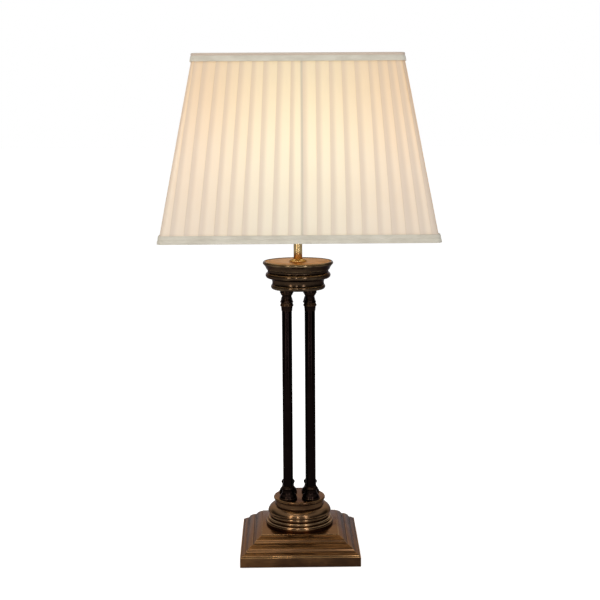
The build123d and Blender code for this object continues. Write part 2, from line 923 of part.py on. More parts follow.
def make_ring_nut():
    """Notched ring nut that clamps the carrier down on the lampholder's flange."""
    low = carrier_plate_top + seat_gap
    bore = holder_thread_radius + ring_nut_fit
    lip = (ring_nut_radius - bore) * 0.45
    nut = turned(
        (bore, low),
        (ring_nut_radius, low),
        (ring_nut_radius, low + ring_nut_height * 0.45),
        (bore + lip, low + ring_nut_height * 0.6),
        (bore + lip, low + ring_nut_height),
        (bore, low + ring_nut_height),
    )
    for index in range(ring_nut_notches):
        turn = radians(360 * index / ring_nut_notches)
        x = (ring_nut_radius + ring_nut_notch_radius * 0.3) * cos(turn)
        y = (ring_nut_radius + ring_nut_notch_radius * 0.3) * sin(turn)
        nut = nut - rod(ring_nut_notch_radius, low - 1, low + ring_nut_height, x, y)
    return nut


# ---------------------------------------------------------------- shade
def face_distance(height):
    """Distance from the axis to the outer face of the shade's trims at a height."""
    return shade_bottom_side / 2 - shade_slope * (height - shade_bottom_height)


def level_square(height, depth):
    """Rounded square at a height, a depth inside the face of the trims."""
    side = 2 * (face_distance(height) - depth)
    radius = max(shade_corner_radius - depth, 0.8)
    return Pos(0, 0, height) * RectangleRounded(side, side, radius)


def tapered_block(low, high, depth):
    """Square tapered block that follows the shade's slope between two heights."""
    return loft([level_square(low, depth), level_square(high, depth)], ruled=True)


def make_trim(edge_height, away):
    """Folded fabric binding on one edge of the shade: outer leg, web and inner leg.
    away is 1 for the lower trim, whose legs point up, and -1 for the upper one."""
    outer_end = edge_height + away * trim_height
    inner_end = outer_end - away * trim_inner_drop
    web_end = edge_height + away * trim_wall
    low, high = sorted((edge_height, outer_end))
    band = tapered_block(low, high, 0)
    spare = away * 2
    low, high = sorted((edge_height - spare, outer_end + spare))
    band = band - tapered_block(low, high, trim_inner_depth + trim_inner_wall)
    low, high = sorted((inner_end, outer_end + spare))
    band = band - tapered_block(low, high, lining_outer_depth)
    low, high = sorted((web_end, outer_end + spare))
    pocket = tapered_block(low, high, trim_wall) - tapered_block(low, high, trim_inner_depth)
    return band - pocket


def make_upper_trim():
    """Upper trim, with its inner leg notched round the arms."""
    leg_end = shade_top_height - trim_height
    return cut_arm_notches(make_trim(shade_top_height, -1), leg_end, arm_notch_high)


def panel_outline(height):
    """Level outline of one pleated side at a height.  Every pleat starts at a sharp fold on
    its left and sinks to the right, in under the next fold; the backing is straight and both
    ends are mitred through the rounded corners.  The pleats narrow and flatten as the shade
    does."""
    reach = face_distance(height)
    flat = reach - shade_corner_radius
    outer_round = shade_corner_radius - pleat_peak_depth
    inner_round = shade_corner_radius - cloth_inner_depth
    fold = flat + outer_round
    inner = flat + inner_round
    valley = fold - pleat_depth * flat / face_distance(shade_bottom_height)
    pitch = 2 * flat / pleats_per_side
    outer_mitre = flat + outer_round / sqrt(2)
    inner_mitre = flat + inner_round / sqrt(2)
    outer_sag = outer_round * (1 - cos(pi / 8))
    inner_sag = inner_round * (1 - cos(pi / 8))
    folds = []
    for index in range(pleats_per_side):
        start = -flat + index * pitch
        folds.append((start, -fold))
        folds.append((start + pitch * (1 - pleat_fold_share), -valley))
    folds.append((flat, -fold))
    edges = [SagittaArc((-outer_mitre, -outer_mitre), (-flat, -fold), -outer_sag)]
    edges.append(Polyline(*folds))
    edges.append(SagittaArc((flat, -fold), (outer_mitre, -outer_mitre), -outer_sag))
    edges.append(Line((outer_mitre, -outer_mitre), (inner_mitre, -inner_mitre)))
    edges.append(SagittaArc((inner_mitre, -inner_mitre), (flat, -inner), inner_sag))
    edges.append(Line((flat, -inner), (-flat, -inner)))
    edges.append(SagittaArc((-flat, -inner), (-inner_mitre, -inner_mitre), inner_sag))
    edges.append(Line((-inner_mitre, -inner_mitre), (-outer_mitre, -outer_mitre)))
    return Pos(0, 0, height) * make_face(edges)


def make_pleated_panel(quarter_turns):
    """One side of the pleated cover, from trim to trim, turned to its place."""
    panel = loft([panel_outline(cloth_base), panel_outline(cloth_top)], ruled=True)
    return Rot(0, 0, 90 * quarter_turns) * panel


def wire_square(height):
    """Square ring of frame wire with rounded corners."""
    side = 2 * (face_distance(height) - wire_depth)
    loop = Pos(0, 0, height) * RectangleRounded(side, side, shade_corner_radius - wire_depth)
    path = loop.wire()
    return sweep(Plane(origin=path @ 0, z_dir=path % 0) * Circle(frame_wire_radius), path=path)


def strut_directions():
    """Unit steps from the axis towards the middles of the sides and towards the corners."""
    return [(1, 0), (0, 1), (-1, 0), (0, -1), (1, 1), (-1, 1), (-1, -1), (1, -1)]


def make_struts():
    """Eight straight frame wires from the lower ring to the upper one."""
    low = lower_wire_height + frame_wire_radius + cloth_gap
    high = upper_wire_height - frame_wire_radius - cloth_gap
    corner_pull = (shade_corner_radius - strut_depth) * (1 - 1 / sqrt(2))
    solids = []
    for x, y in strut_directions():
        pull = corner_pull if x and y else 0
        near = face_distance(low) - strut_depth - pull
        far = face_distance(high) - strut_depth - pull
        bar = bar_between((x * near, y * near, low), (x * far, y * far, high), strut_radius)
        solids.extend(bar.solids())
    return Compound(children=solids)


def make_arm():
    """Sloping arm of the duplex fitting, from its ring to the upper frame wire, along +X."""
    keep = 1 - (frame_wire_radius + cloth_gap) / hypot(arm_run, arm_rise)
    start = (arm_start, 0, arm_foot)
    end = (arm_start + arm_run * keep, 0, arm_foot + arm_rise * keep)
    return bar_between(start, end, duplex_arm_radius)


def make_duplex_fitting():
    """Lipped ring that rests on the gallery, with four arms up to the top of the frame."""
    top = duplex_base + duplex_ring_thickness
    fitting = turned(
        (duplex_ring_inner_radius, duplex_base),
        (duplex_lip_inner_radius, duplex_base),
        (duplex_lip_inner_radius, duplex_base - duplex_lip_drop),
        (duplex_ring_outer_radius, duplex_base - duplex_lip_drop),
        (duplex_ring_outer_radius, top),
        (duplex_ring_inner_radius, top),
    )
    arm = make_arm()
    for index in range(4):
        fitting = fitting + Rot(0, 0, 90 * index) * arm
    return fitting


def cut_arm_notches(piece, low, high):
    """Cuts a layer of the shade between two heights, where the four arms pass through it."""
    width = 2 * (duplex_arm_radius + cloth_gap)
    notch = Pos(arm_end, 0, low) * Box(
        2 * arm_notch_reach, width, high - low, align=(Align.CENTER, Align.CENTER, Align.MIN)
    )
    for index in range(4):
        piece = piece - Rot(0, 0, 90 * index) * notch
    return piece


def make_lining():
    """Thin lining inside the frame, from trim to trim."""
    block = tapered_block(cloth_base, cloth_top, lining_outer_depth)
    spare = 2
    hollow = tapered_block(cloth_base - spare, cloth_top + spare, lining_inner_depth)
    return cut_arm_notches(block - hollow, arm_notch_low, cloth_top + spare)


# ---------------------------------------------------------------- all the nodes
def make_nodes():
    """Every sub-part of the lamp, by its node's name."""
    nodes = {
        "felt_pad": make_felt_pad(),
        "base_plate": make_base_plate(),
        "base_screws": make_base_screws(),
        "base_weight": make_base_weight(),
        "plinth": make_plinth(),
        "cable_inlet_bush": make_cable_bush(),
        "pedestal": make_pedestal(),
        "column_plate": make_column_plate(),
        "column_rods": make_column_rods(),
        "lower_nuts": make_column_nuts(lower_nut_base),
        "lower_washers": make_column_washers(lower_washer_base),
        "upper_nuts": make_column_nuts(upper_nut_base),
        "upper_washers": make_column_washers(upper_washer_base),
        "entablature": make_entablature(),
        "top_plate": make_top_plate(),
        "stem_washer": flat_washer(stem_washer_base),
        "stem_nut": hexagon_nut(stem_nut_base),
        "stem_nipple": make_stem_nipple(),
        "stem_seat": make_stem_seat(),
        "stem_tube": make_stem_tube(),
        "lampholder_cap": make_holder_cap(),
        "lampholder_barrel": make_holder_barrel(),
        "terminal_block": make_terminal_block(),
        "insulating_sleeve": make_insulating_sleeve(),
        "screw_shell": make_screw_shell(),
        "centre_contact": make_centre_contact(),
        "switch_bar": make_switch_bar(),
        "bulb_cap": make_bulb_cap(),
        "bulb_glass": make_bulb_glass(),
        "bulb_filament": make_bulb_filament(),
        "carrier_plate": make_carrier_plate(),
        "carrier_wires": make_carrier_wires(),
        "carrier_ring": make_carrier_ring(),
        "ring_nut": make_ring_nut(),
        "shade_lower_ring": wire_square(lower_wire_height),
        "shade_upper_ring": wire_square(upper_wire_height),
        "shade_struts": make_struts(),
        "duplex_fitting": make_duplex_fitting(),
        "shade_lining": make_lining(),
        "shade_lower_trim": make_trim(shade_bottom_height, 1),
        "shade_upper_trim": make_upper_trim(),
    }
    foot = make_foot()
    shaft = make_shaft()
    capital = make_capital()
    for place, (x, y) in column_places.items():
        nodes["column_foot_" + place] = Pos(x, y, 0) * foot
        nodes["column_shaft_" + place] = Pos(x, y, 0) * shaft
        nodes["column_capital_" + place] = Pos(x, y, 0) * capital
    for side, quarter_turns in {"front": 0, "right": 1, "back": 2, "left": 3}.items():
        nodes["pleated_panel_" + side] = make_pleated_panel(quarter_turns)
    return nodes


os.makedirs("parts", exist_ok=True)
for name, piece in make_nodes().items():
    export_step(piece, "parts/" + name + ".step")
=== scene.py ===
"""Column table lamp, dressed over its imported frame.

A square stepped plinth, a ringed pedestal, four slim columns and a ringed capital in aged
brass, a polished stem, a lit bulb and a square tapered shade of knife-pleated cloth.  Sizes
are in millimetres, Z is up, the front of the lamp faces -Y and the table is at Z = 0.
"""

import logging
import math
from dataclasses import dataclass
from enum import Enum
from typing import Callable, Iterable, Mapping, Optional, Sequence, Union

import bmesh
import bpy
from mathutils import Matrix, Vector

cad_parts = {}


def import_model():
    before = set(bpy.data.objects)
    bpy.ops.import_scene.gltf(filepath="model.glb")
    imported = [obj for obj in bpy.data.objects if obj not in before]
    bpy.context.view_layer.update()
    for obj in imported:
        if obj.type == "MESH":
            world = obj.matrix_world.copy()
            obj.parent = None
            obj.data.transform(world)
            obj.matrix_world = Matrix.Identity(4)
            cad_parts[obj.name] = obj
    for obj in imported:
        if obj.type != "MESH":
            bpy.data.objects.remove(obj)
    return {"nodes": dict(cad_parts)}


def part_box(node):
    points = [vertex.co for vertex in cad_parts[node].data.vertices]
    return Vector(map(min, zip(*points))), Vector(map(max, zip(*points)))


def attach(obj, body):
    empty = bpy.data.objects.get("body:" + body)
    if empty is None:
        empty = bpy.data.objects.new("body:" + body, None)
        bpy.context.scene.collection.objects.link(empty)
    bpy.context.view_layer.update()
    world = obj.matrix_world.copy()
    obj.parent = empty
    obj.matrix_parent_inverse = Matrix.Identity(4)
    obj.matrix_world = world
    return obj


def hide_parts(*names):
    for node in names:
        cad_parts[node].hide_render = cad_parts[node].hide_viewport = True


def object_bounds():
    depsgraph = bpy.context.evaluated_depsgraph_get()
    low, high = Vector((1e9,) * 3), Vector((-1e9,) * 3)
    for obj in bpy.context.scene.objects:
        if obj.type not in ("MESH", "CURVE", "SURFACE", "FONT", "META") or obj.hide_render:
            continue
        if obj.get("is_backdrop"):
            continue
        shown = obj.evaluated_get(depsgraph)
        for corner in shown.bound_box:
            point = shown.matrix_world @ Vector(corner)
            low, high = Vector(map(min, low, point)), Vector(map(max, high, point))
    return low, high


MM = 0.001
log = logging.getLogger("column_lamp")

Mesh = bmesh.types.BMesh
Socket = bpy.types.NodeSocket
Step = Union[tuple[float, float], tuple[float, float, float]]
Colour = tuple[float, float, float]
Stretch = tuple[float, float, float]


class Body(str, Enum):
    """The bodies of the frame that pieces ride on."""

    LAMP = "lamp_body"
    BULB = "bulb"
    SHADE = "shade"


class Edge(Enum):
    """Which edge of the shade a binding is sewn to."""

    LOWER = 1
    UPPER = -1


# ---------------------------------------------------------------- shader helpers
def operator(name: str, reflected: bool = False) -> Callable[["Signal", "Number"], "Signal"]:
    """An operator of signals that adds a Math node.

    Args:
        name: The node's operation.
        reflected: Whether the signal stands on the right.

    Returns:
        The operator, as a method.
    """
    def apply(signal: "Signal", other: "Number") -> "Signal":
        """Adds the node."""
        return signal.graph.math(name, *((other, signal) if reflected else (signal, other)))

    return apply


class Signal:
    """A shader socket whose arithmetic adds Math nodes to its tree."""

    def __init__(self, graph: "Graph", socket: Socket) -> None:
        """Wraps a socket of a graph's tree."""
        self.graph = graph
        self.socket = socket

    __add__, __radd__ = operator("ADD"), operator("ADD", True)
    __sub__, __rsub__ = operator("SUBTRACT"), operator("SUBTRACT", True)
    __mul__, __rmul__ = operator("MULTIPLY"), operator("MULTIPLY", True)
    __truediv__, __rtruediv__ = operator("DIVIDE"), operator("DIVIDE", True)

    def size(self) -> "Signal":
        """Value without its sign."""
        return self.graph.math("ABSOLUTE", self)

    def part(self) -> "Signal":
        """Fraction above the whole number below."""
        return self.graph.math("FRACT", self)

    def between(self, low: float, high: float) -> "Signal":
        """Eases from 0 at low to 1 at high, which may be the smaller one.

        Args:
            low: Value at which the result leaves 0.
            high: Value at which the result reaches 1.

        Returns:
            A signal from 0 to 1.
        """
        settings = {"interpolation_type": "SMOOTHSTEP"}
        inputs = {"Value": self, "From Min": low, "From Max": high}
        node = self.graph.node("ShaderNodeMapRange", settings, inputs)
        return Signal(self.graph, node.outputs["Result"])


Number = Union[Signal, float, int]
Feed = Union[Signal, Socket, float, int, Sequence[float]]


class Graph:
    """A node tree that is built up node by node."""

    def __init__(self, owner: Union[bpy.types.Material, bpy.types.World]) -> None:
        """Empties a node tree.

        Args:
            owner: The material or world that has the tree.
        """
        owner.use_nodes = True
        self.tree = owner.node_tree
        self.tree.nodes.clear()

    def node(
        self, kind: str, settings: Optional[Mapping[str, object]] = None,
        inputs: Optional[Mapping[Union[str, int], Feed]] = None,
    ) -> bpy.types.Node:
        """Adds a node, sets it up and feeds its sockets.

        Args:
            kind: Blender's name of the node type.
            settings: Properties, which are set first.
            inputs: Values or links by socket name or number.

        Returns:
            The new node.
        """
        made = self.tree.nodes.new(kind)
        for key, value in (settings or {}).items():
            setattr(made, key, value)
        for key, feed in (inputs or {}).items():
            self.feed(made.inputs[key], feed)
        return made

    def feed(self, socket: Socket, value: Feed) -> None:
        """Links a signal or socket to a socket, or sets its value.

        Args:
            socket: The socket to feed.
            value: What it gets.
        """
        source = value.socket if isinstance(value, Signal) else value
        if isinstance(source, Socket):
            self.tree.links.new(source, socket)
        else:
            socket.default_value = (*source, 1.0) if socket.type == "RGBA" else source

    def math(self, operation: str, *values: Number) -> Signal:
        """Result of a Math node with these inputs."""
        node = self.node("ShaderNodeMath", {"operation": operation}, dict(enumerate(values)))
        return Signal(self, node.outputs[0])

    def blend(self, share: Number, first: Feed, second: Feed) -> Socket:
        """Mixed colour: the first at a share of 0, the second at 1."""
        settings = {"data_type": "RGBA", "clamp_factor": True}
        return self.node("ShaderNodeMix", settings, {0: share, 6: first, 7: second}).outputs[2]

    def scaled(self, colour: Feed, amount: Number) -> Socket:
        """A colour times a number."""
        settings = {"operation": "SCALE"}
        return self.node("ShaderNodeVectorMath", settings, {0: colour, 3: amount}).outputs[0]


class Shader(Graph):
    """Node tree of one material, round a single Principled shader.

    Its place is the socket of object coordinates, which are metres in the lamp's frame.
    """

    def __init__(self, name: str) -> None:
        """Starts an empty material.

        Args:
            name: The material's name.
        """
        self.material = bpy.data.materials.new(name)
        super().__init__(self.material)
        self.surface = self.node("ShaderNodeBsdfPrincipled")
        self.node("ShaderNodeOutputMaterial", None, {"Surface": self.surface.outputs[0]})
        self.place = self.node("ShaderNodeTexCoord").outputs["Object"]

    def axes(self) -> list[Signal]:
        """X, Y and Z of the lamp's frame, in millimetres."""
        split = self.node("ShaderNodeSeparateXYZ", None, {0: self.place})
        return [Signal(self, out) * (1 / MM) for out in split.outputs]

    def attribute(self, name: str) -> Signal:
        """A number that the mesh carries."""
        node = self.node("ShaderNodeAttribute", {"attribute_name": name})
        return Signal(self, node.outputs["Fac"])

    def fold_place(self) -> Signal:
        """Place along the pleated strip, counted in folds, from its UV map."""
        cloth = self.node("ShaderNodeUVMap", {"uv_map": "cloth"}).outputs[0]
        return Signal(self, self.node("ShaderNodeSeparateXYZ", None, {0: cloth}).outputs[0])

    def noise(self, scale: float, detail: float = 3.0, stretch: Stretch = (1, 1, 1)) -> Signal:
        """Cloudy noise over the piece.

        Args:
            scale: Features per metre.
            detail: Octaves.
            stretch: Factors on the three axes before the scale.

        Returns:
            A signal about 0.5.
        """
        mapping = self.node("ShaderNodeMapping", None, {"Vector": self.place, "Scale": stretch})
        inputs = {"Vector": mapping.outputs[0], "Scale": scale, "Detail": detail, "Roughness": 0.55}
        return Signal(self, self.node("ShaderNodeTexNoise", None, inputs).outputs["Fac"])

    def relief(self, height: Number, depth: float, strength: float) -> None:
        """Bumps the surface by a height signal, whose 1 stands for a depth in metres."""
        inputs = {"Height": height, "Distance": depth, "Strength": strength}
        self.dress(Normal=self.node("ShaderNodeBump", None, inputs).outputs[0])

    def dress(self, **feeds: Feed) -> None:
        """Feeds the Principled shader by socket name, with _ for a space."""
        for key, value in feeds.items():
            self.feed(self.surface.inputs[key.replace("_", " ")], value)


# ---------------------------------------------------------------- finishes
@dataclass(frozen=True)
class Finish:
    """What a material looks like."""

    name: str

    def material(self) -> bpy.types.Material:
        """Makes a material with this finish.

        Returns:
            The new material.
        """
        shader = Shader(self.name)
        self.paint(shader)
        return shader.material

    def paint(self, shader: Shader) -> None:
        """Feeds the material's shader."""
        raise NotImplementedError


@dataclass(frozen=True)
class AgedMetal(Finish):
    """Brass aged to brown, rubbed bright on its crests and dark in its grooves, with painted light on faces
    that face up and painted shade towards its right side.
    """

    groove: Colour = (0.010, 0.005, 0.003)
    brown: Colour = (0.062, 0.030, 0.015)
    bronze: Colour = (0.210, 0.104, 0.042)
    rubbed: Colour = (0.480, 0.280, 0.120)
    edge: Colour = (0.42, 0.40, 0.42)
    lacquer: float = 0.10
    wear: float = 0.0
    roughness: float = 0.17
    turning_marks: float = 1.0
    mark_depth: float = 0.000014
    # Painted shade: how much browner the colour gets per millimetre to the right.
    right_shade_per_mm: float = 0.0014

    def paint(self, shader: Shader) -> None:
        """Clouds of patina, worn crests, dirty grooves and fine turning marks, with upward faces painted
        lighter and the right side painted darker.

        Args:
            shader: The material's shader.
        """
        crest = shader.attribute("crest")
        facing = shader.attribute("facing_up")
        cloud = shader.noise(16, 2)
        blotch = shader.noise(70, 5)
        marks = shader.noise(60, 3, (1, 1, 22))
        # Painted shade: the colour turns browner and darker towards the lamp's right side.
        right_shade = shader.axes()[0] * self.right_shade_per_mm
        # Patina clouds and marks are the metal's own; the upward-facing term is painted light, lighter
        # bronze on faces that face up.
        patina_and_light = cloud * 0.45 + blotch * 0.25 + marks * 0.30 + facing * 0.16 + self.wear - right_shade
        colour = shader.blend(patina_and_light.between(0.34, 0.68), self.brown, self.bronze)
        rubbing = crest * 0.55 + blotch * 0.35 + marks * 0.2 + cloud * 0.2 + self.wear
        worn = rubbing.between(0.60, 0.98)
        colour = shader.blend(worn, colour, self.rubbed)
        dirt = (blotch * 0.5 - crest * 1.1).between(0.42, 0.95)
        colour = shader.blend(dirt, colour, self.groove)
        shader.relief(marks * 0.4 + blotch * 0.6, self.mark_depth * self.turning_marks, 0.4)
        rough = self.roughness + (1 - worn) * 0.03 + dirt * 0.20 + marks * 0.05
        shader.dress(
            Base_Color=colour, Metallic=1.0, Roughness=rough, Specular_Tint=self.edge,
            Coat_Weight=self.lacquer, Coat_Roughness=0.12,
        )


@dataclass(frozen=True)
class LacqueredMetal(Finish):
    """Bright metal with faint drawing lines and a few dull spots."""

    bright: Colour
    dull: Colour
    roughness: float = 0.2
    grain: Stretch = (1, 1, 14)
    depth: float = 0.00003
    edge: Colour = (1.0, 1.0, 1.0)

    def paint(self, shader: Shader) -> None:
        """Dull spots in colour and gloss, and the relief of the drawing lines.

        Args:
            shader: The material's shader.
        """
        cloud = shader.noise(30, 3)
        lines = shader.noise(160, 2, self.grain)
        tarnish = (cloud * 0.7 + lines * 0.3).between(0.38, 0.72)
        shader.relief(lines, self.depth, 0.5)
        shader.dress(
            Base_Color=shader.blend(tarnish, self.bright, self.dull), Metallic=1.0,
            Roughness=self.roughness * (0.85 + tarnish * 0.35 + lines * 0.20), Specular_Tint=self.edge,
        )


@dataclass(frozen=True)
class Moulding(Finish):
    """Moulded plastic or coated wire with a fine skin."""

    colour: Colour
    shade: Colour
    roughness: float = 0.42
    skin: float = 0.00004

    def paint(self, shader: Shader) -> None:
        """A fine skin and faint colour variation.

        Args:
            shader: The material's shader.
        """
        cloud = shader.noise(40, 3)
        skin = shader.noise(1400, 2)
        colour = shader.blend(cloud.between(0.3, 0.75), self.colour, self.shade)
        shader.relief(skin, self.skin, 0.5)
        shader.dress(Base_Color=colour, Roughness=self.roughness + skin * 0.1)


@dataclass(frozen=True)
class Casting(Finish):
    """Raw cast iron with a sandy skin."""

    dark: Colour = (0.045, 0.045, 0.047)
    light: Colour = (0.13, 0.125, 0.12)

    def paint(self, shader: Shader) -> None:
        """Sand grains in colour, gloss and relief.

        Args:
            shader: The material's shader.
        """
        sand = shader.noise(420, 4)
        colour = shader.blend(sand.between(0.35, 0.7), self.dark, self.light)
        shader.relief(sand, 0.0004, 0.8)
        shader.dress(Base_Color=colour, Metallic=0.7, Roughness=0.55 + sand * 0.25)


@dataclass(frozen=True)
class Baize(Finish):
    """Dark felted wool."""

    dark: Colour = (0.030, 0.062, 0.036)
    light: Colour = (0.085, 0.140, 0.090)

    def paint(self, shader: Shader) -> None:
        """Fibres that lie one way, in loose tufts.

        Args:
            shader: The material's shader.
        """
        fibres = shader.noise(900, 5, (1, 0.35, 1))
        tufts = shader.noise(90, 4)
        colour = shader.blend((fibres * 0.6 + tufts * 0.4).between(0.35, 0.68), self.dark, self.light)
        shader.relief(fibres, 0.0006, 0.9)
        shader.dress(Base_Color=colour, Roughness=0.85 + fibres * 0.1, Sheen_Weight=0.4)


@dataclass(frozen=True)
class Glow:
    """Light of the bulb as it comes out through a layer of cloth."""

    bulb_height: float = 600.0
    reach_across: float = 225.0
    reach_up: float = 125.0
    edge_across: float = 150.0
    middle: Colour = (0.42, 0.33, 0.15)
    edges: Colour = (0.42, 0.23, 0.06)
    power: float = 1.0

    def amount(self, shader: Shader) -> tuple[Signal, Signal]:
        """How much light arrives at a place of the shade.

        Args:
            shader: The cloth's shader.

        Returns:
            The amount, 1 opposite the bulb, and the place across the side from 0 to 1.
        """
        x, y, z = shader.axes()
        across = shader.math("MINIMUM", x.size(), y.size())
        rise = (z - self.bulb_height) / self.reach_up
        slide = across / self.reach_across
        amount = self.power / (1 + rise * rise + slide * slide)
        return amount, (across / self.edge_across).between(0.1, 1.0)

    def colour(self, shader: Shader, amount: Number, across: Signal) -> Socket:
        """Light that comes out, by its amount and the place across the side."""
        return shader.scaled(shader.blend(across, self.middle, self.edges), amount)


@dataclass(frozen=True)
class PleatedCloth(Finish):
    """Cream cloth in knife pleats, lit from inside: three layers beside each fold stay darker, in the light
    through them and in a painted fold shade in the cloth's colour.
    """

    cream: Colour = (0.640, 0.608, 0.560)
    # Colour of the painted fold shade beside each fold, and of the cloth's warmer uneven tone.
    fold_shade_warm: Colour = (0.590, 0.543, 0.488)
    # Colour of the painted shade towards the top, between the two heights below.
    upper_shade: Colour = (0.570, 0.490, 0.402)
    shadowed: Colour = (0.480, 0.480, 0.420)
    seeping: Colour = (0.12, 0.03, 0.0)
    overlap: float = 0.50
    folds: int = 19
    strut_fold: float = 9.02
    upper_shade_from: float = 540.0
    upper_shade_to: float = 672.0
    glow: Glow = Glow()

    def paint(self, shader: Shader) -> None:
        """A fine slubbed cloth with the bulb's light coming through it.

        Args:
            shader: The material's shader.
        """
        place = shader.fold_place()
        height = shader.axes()[2]
        along = (place / self.folds).part()
        crowded = along.between(0.72, 0.90)
        single = (place.part() - crowded * 0.22).between(0.10, self.overlap + 0.08)
        # Painted shadow of the frame's middle wire: a darker line along one fold, in the light through the
        # cloth and in its colour.
        strut_shadow = (along * self.folds - self.strut_fold).size().between(0.12, 0.06)
        slub = shader.noise(260, 3, (1, 1, 0.05))
        cloud = shader.noise(22, 2)
        weave = shader.noise(2600, 2, (1, 1, 0.6))
        amount, across = self.glow.amount(shader)
        # Painted shadow of the middle wire in the light through the cloth.
        amount = amount * (1 - strut_shadow * 0.45)
        through = amount * (0.43 + single * 0.57) * (0.86 + slub * 0.16 + cloud * 0.12)
        light = self.glow.colour(shader, through, across)
        orange = shader.scaled(self.seeping, (1 - single) * amount * 0.5)
        add = {"operation": "ADD"}
        light = shader.node("ShaderNodeVectorMath", add, {0: light, 1: orange}).outputs[0]
        # Clouds and slubs are the cloth's own uneven tone; the overlap term is painted shade, warmer and
        # darker beside each fold.
        tone_and_fold_shade = (cloud * 0.5 + slub * 0.3 + (1 - single) * 0.5).between(0.3, 0.9)
        colour = shader.blend(tone_and_fold_shade, self.cream, self.fold_shade_warm)
        # Painted shade: the cloth's colour darkens and browns towards the top of the shade.
        colour = shader.blend(height.between(self.upper_shade_from, self.upper_shade_to), colour, self.upper_shade)
        # Painted shadow of the middle wire in the cloth's colour, towards a shaded grey.
        colour = shader.blend(strut_shadow * 0.4, colour, self.shadowed)
        shader.relief(weave * 0.5 + slub * 0.5, 0.00022, 0.5)
        shader.dress(
            Base_Color=colour, Roughness=0.78 + weave * 0.12, Sheen_Weight=0.15,
            Emission_Color=light, Emission_Strength=1.0,
        )


@dataclass(frozen=True)
class BindingCloth(Finish):
    """Doubled cream cloth of the bindings, with a fine weave; little light comes through it."""

    cream: Colour = (0.600, 0.585, 0.520)
    grey: Colour = (0.500, 0.480, 0.420)
    # Colour of the painted shade along the upper roll, between the two height spans below.
    roll_shade: Colour = (0.530, 0.450, 0.390)
    roll_shade_from: tuple[float, float] = (685.6, 687.4)
    roll_shade_to: tuple[float, float] = (689.2, 689.9)
    glow: Glow = Glow(power=0.10)

    def paint(self, shader: Shader) -> None:
        """A dense woven cloth, with painted shade along its upper roll, darker and pinker.

        Args:
            shader: The material's shader.
        """
        thread = shader.noise(1700, 2, (1, 1, 0.5))
        cloud = shader.noise(38, 4, (1, 1, 2.5))
        amount, across = self.glow.amount(shader)
        colour = shader.blend(cloud.between(0.32, 0.72), self.cream, self.grey)
        height = shader.axes()[2]
        # Painted shade: a darker, pinker band along the binding's upper roll.
        roll = height.between(*self.roll_shade_from) - height.between(*self.roll_shade_to)
        shader.relief(thread * 0.6 + cloud * 0.4, 0.0003, 0.6)
        shader.dress(
            Base_Color=shader.blend(roll, colour, self.roll_shade), Roughness=0.82 + thread * 0.1,
            Sheen_Weight=0.15, Emission_Color=self.glow.colour(shader, amount, across),
            Emission_Strength=1.0,
        )


@dataclass(frozen=True)
class LitGlass(Finish):
    """Opal glass of the burning bulb."""

    colour: Colour = (1.0, 0.83, 0.52)
    strength: float = 5.0
    dim_below: float = 545.0
    full_above: float = 567.0

    def paint(self, shader: Shader) -> None:
        """Glowing opal, dimmer towards the neck.

        Args:
            shader: The material's shader.
        """
        neck = shader.axes()[2].between(self.dim_below, self.full_above)
        mottle = shader.noise(25, 2)
        light = shader.scaled(self.colour, (0.25 + neck * 0.75) * (0.92 + mottle * 0.16))
        shader.relief(mottle, 0.0001, 0.2)
        shader.dress(
            Base_Color=(0.85, 0.83, 0.78), Roughness=0.18,
            Emission_Color=light, Emission_Strength=self.strength,
        )


# ---------------------------------------------------------------- mesh helpers
def arc_between(start: Vector, end: Vector, swell: float) -> list[Vector]:
    """Points after start on an arc that swells out to the right of the run.

    Args:
        start: Where the arc begins.
        end: Where it ends.
        swell: Height of the arc over its chord; below 0 it is hollow.

    Returns:
        The points, the last of them end.
    """
    chord = end - start
    length = chord.length
    turn = 4 * math.atan(2 * abs(swell) / length)
    radius = length / (2 * math.sin(turn / 2))
    along = chord.normalized()
    out = Vector((along.y, -along.x)) * math.copysign(1, swell)
    middle = (start + end) / 2
    count = max(5, math.ceil(math.degrees(turn) / 9))
    points = []
    for index in range(1, count + 1):
        angle = turn * (index / count - 0.5)
        side = radius * math.sin(angle)
        height = radius * math.cos(angle) - radius * math.cos(turn / 2)
        points.append(middle + along * side + out * height)
    return points


def section_points(start: tuple[float, float], steps: Iterable[Step]) -> list[Vector]:
    """Half section as a run with its material on the left.

    Args:
        start: First radius and height.
        steps: Further radii and heights, each with the swell of its arc if it has one.

    Returns:
        The points of the run.
    """
    points = [Vector(start)]
    for step in steps:
        end = Vector(step[:2])
        swell = step[2] if len(step) == 3 else 0.0
        points.extend(arc_between(points[-1], end, swell) if swell else [end])
    return points


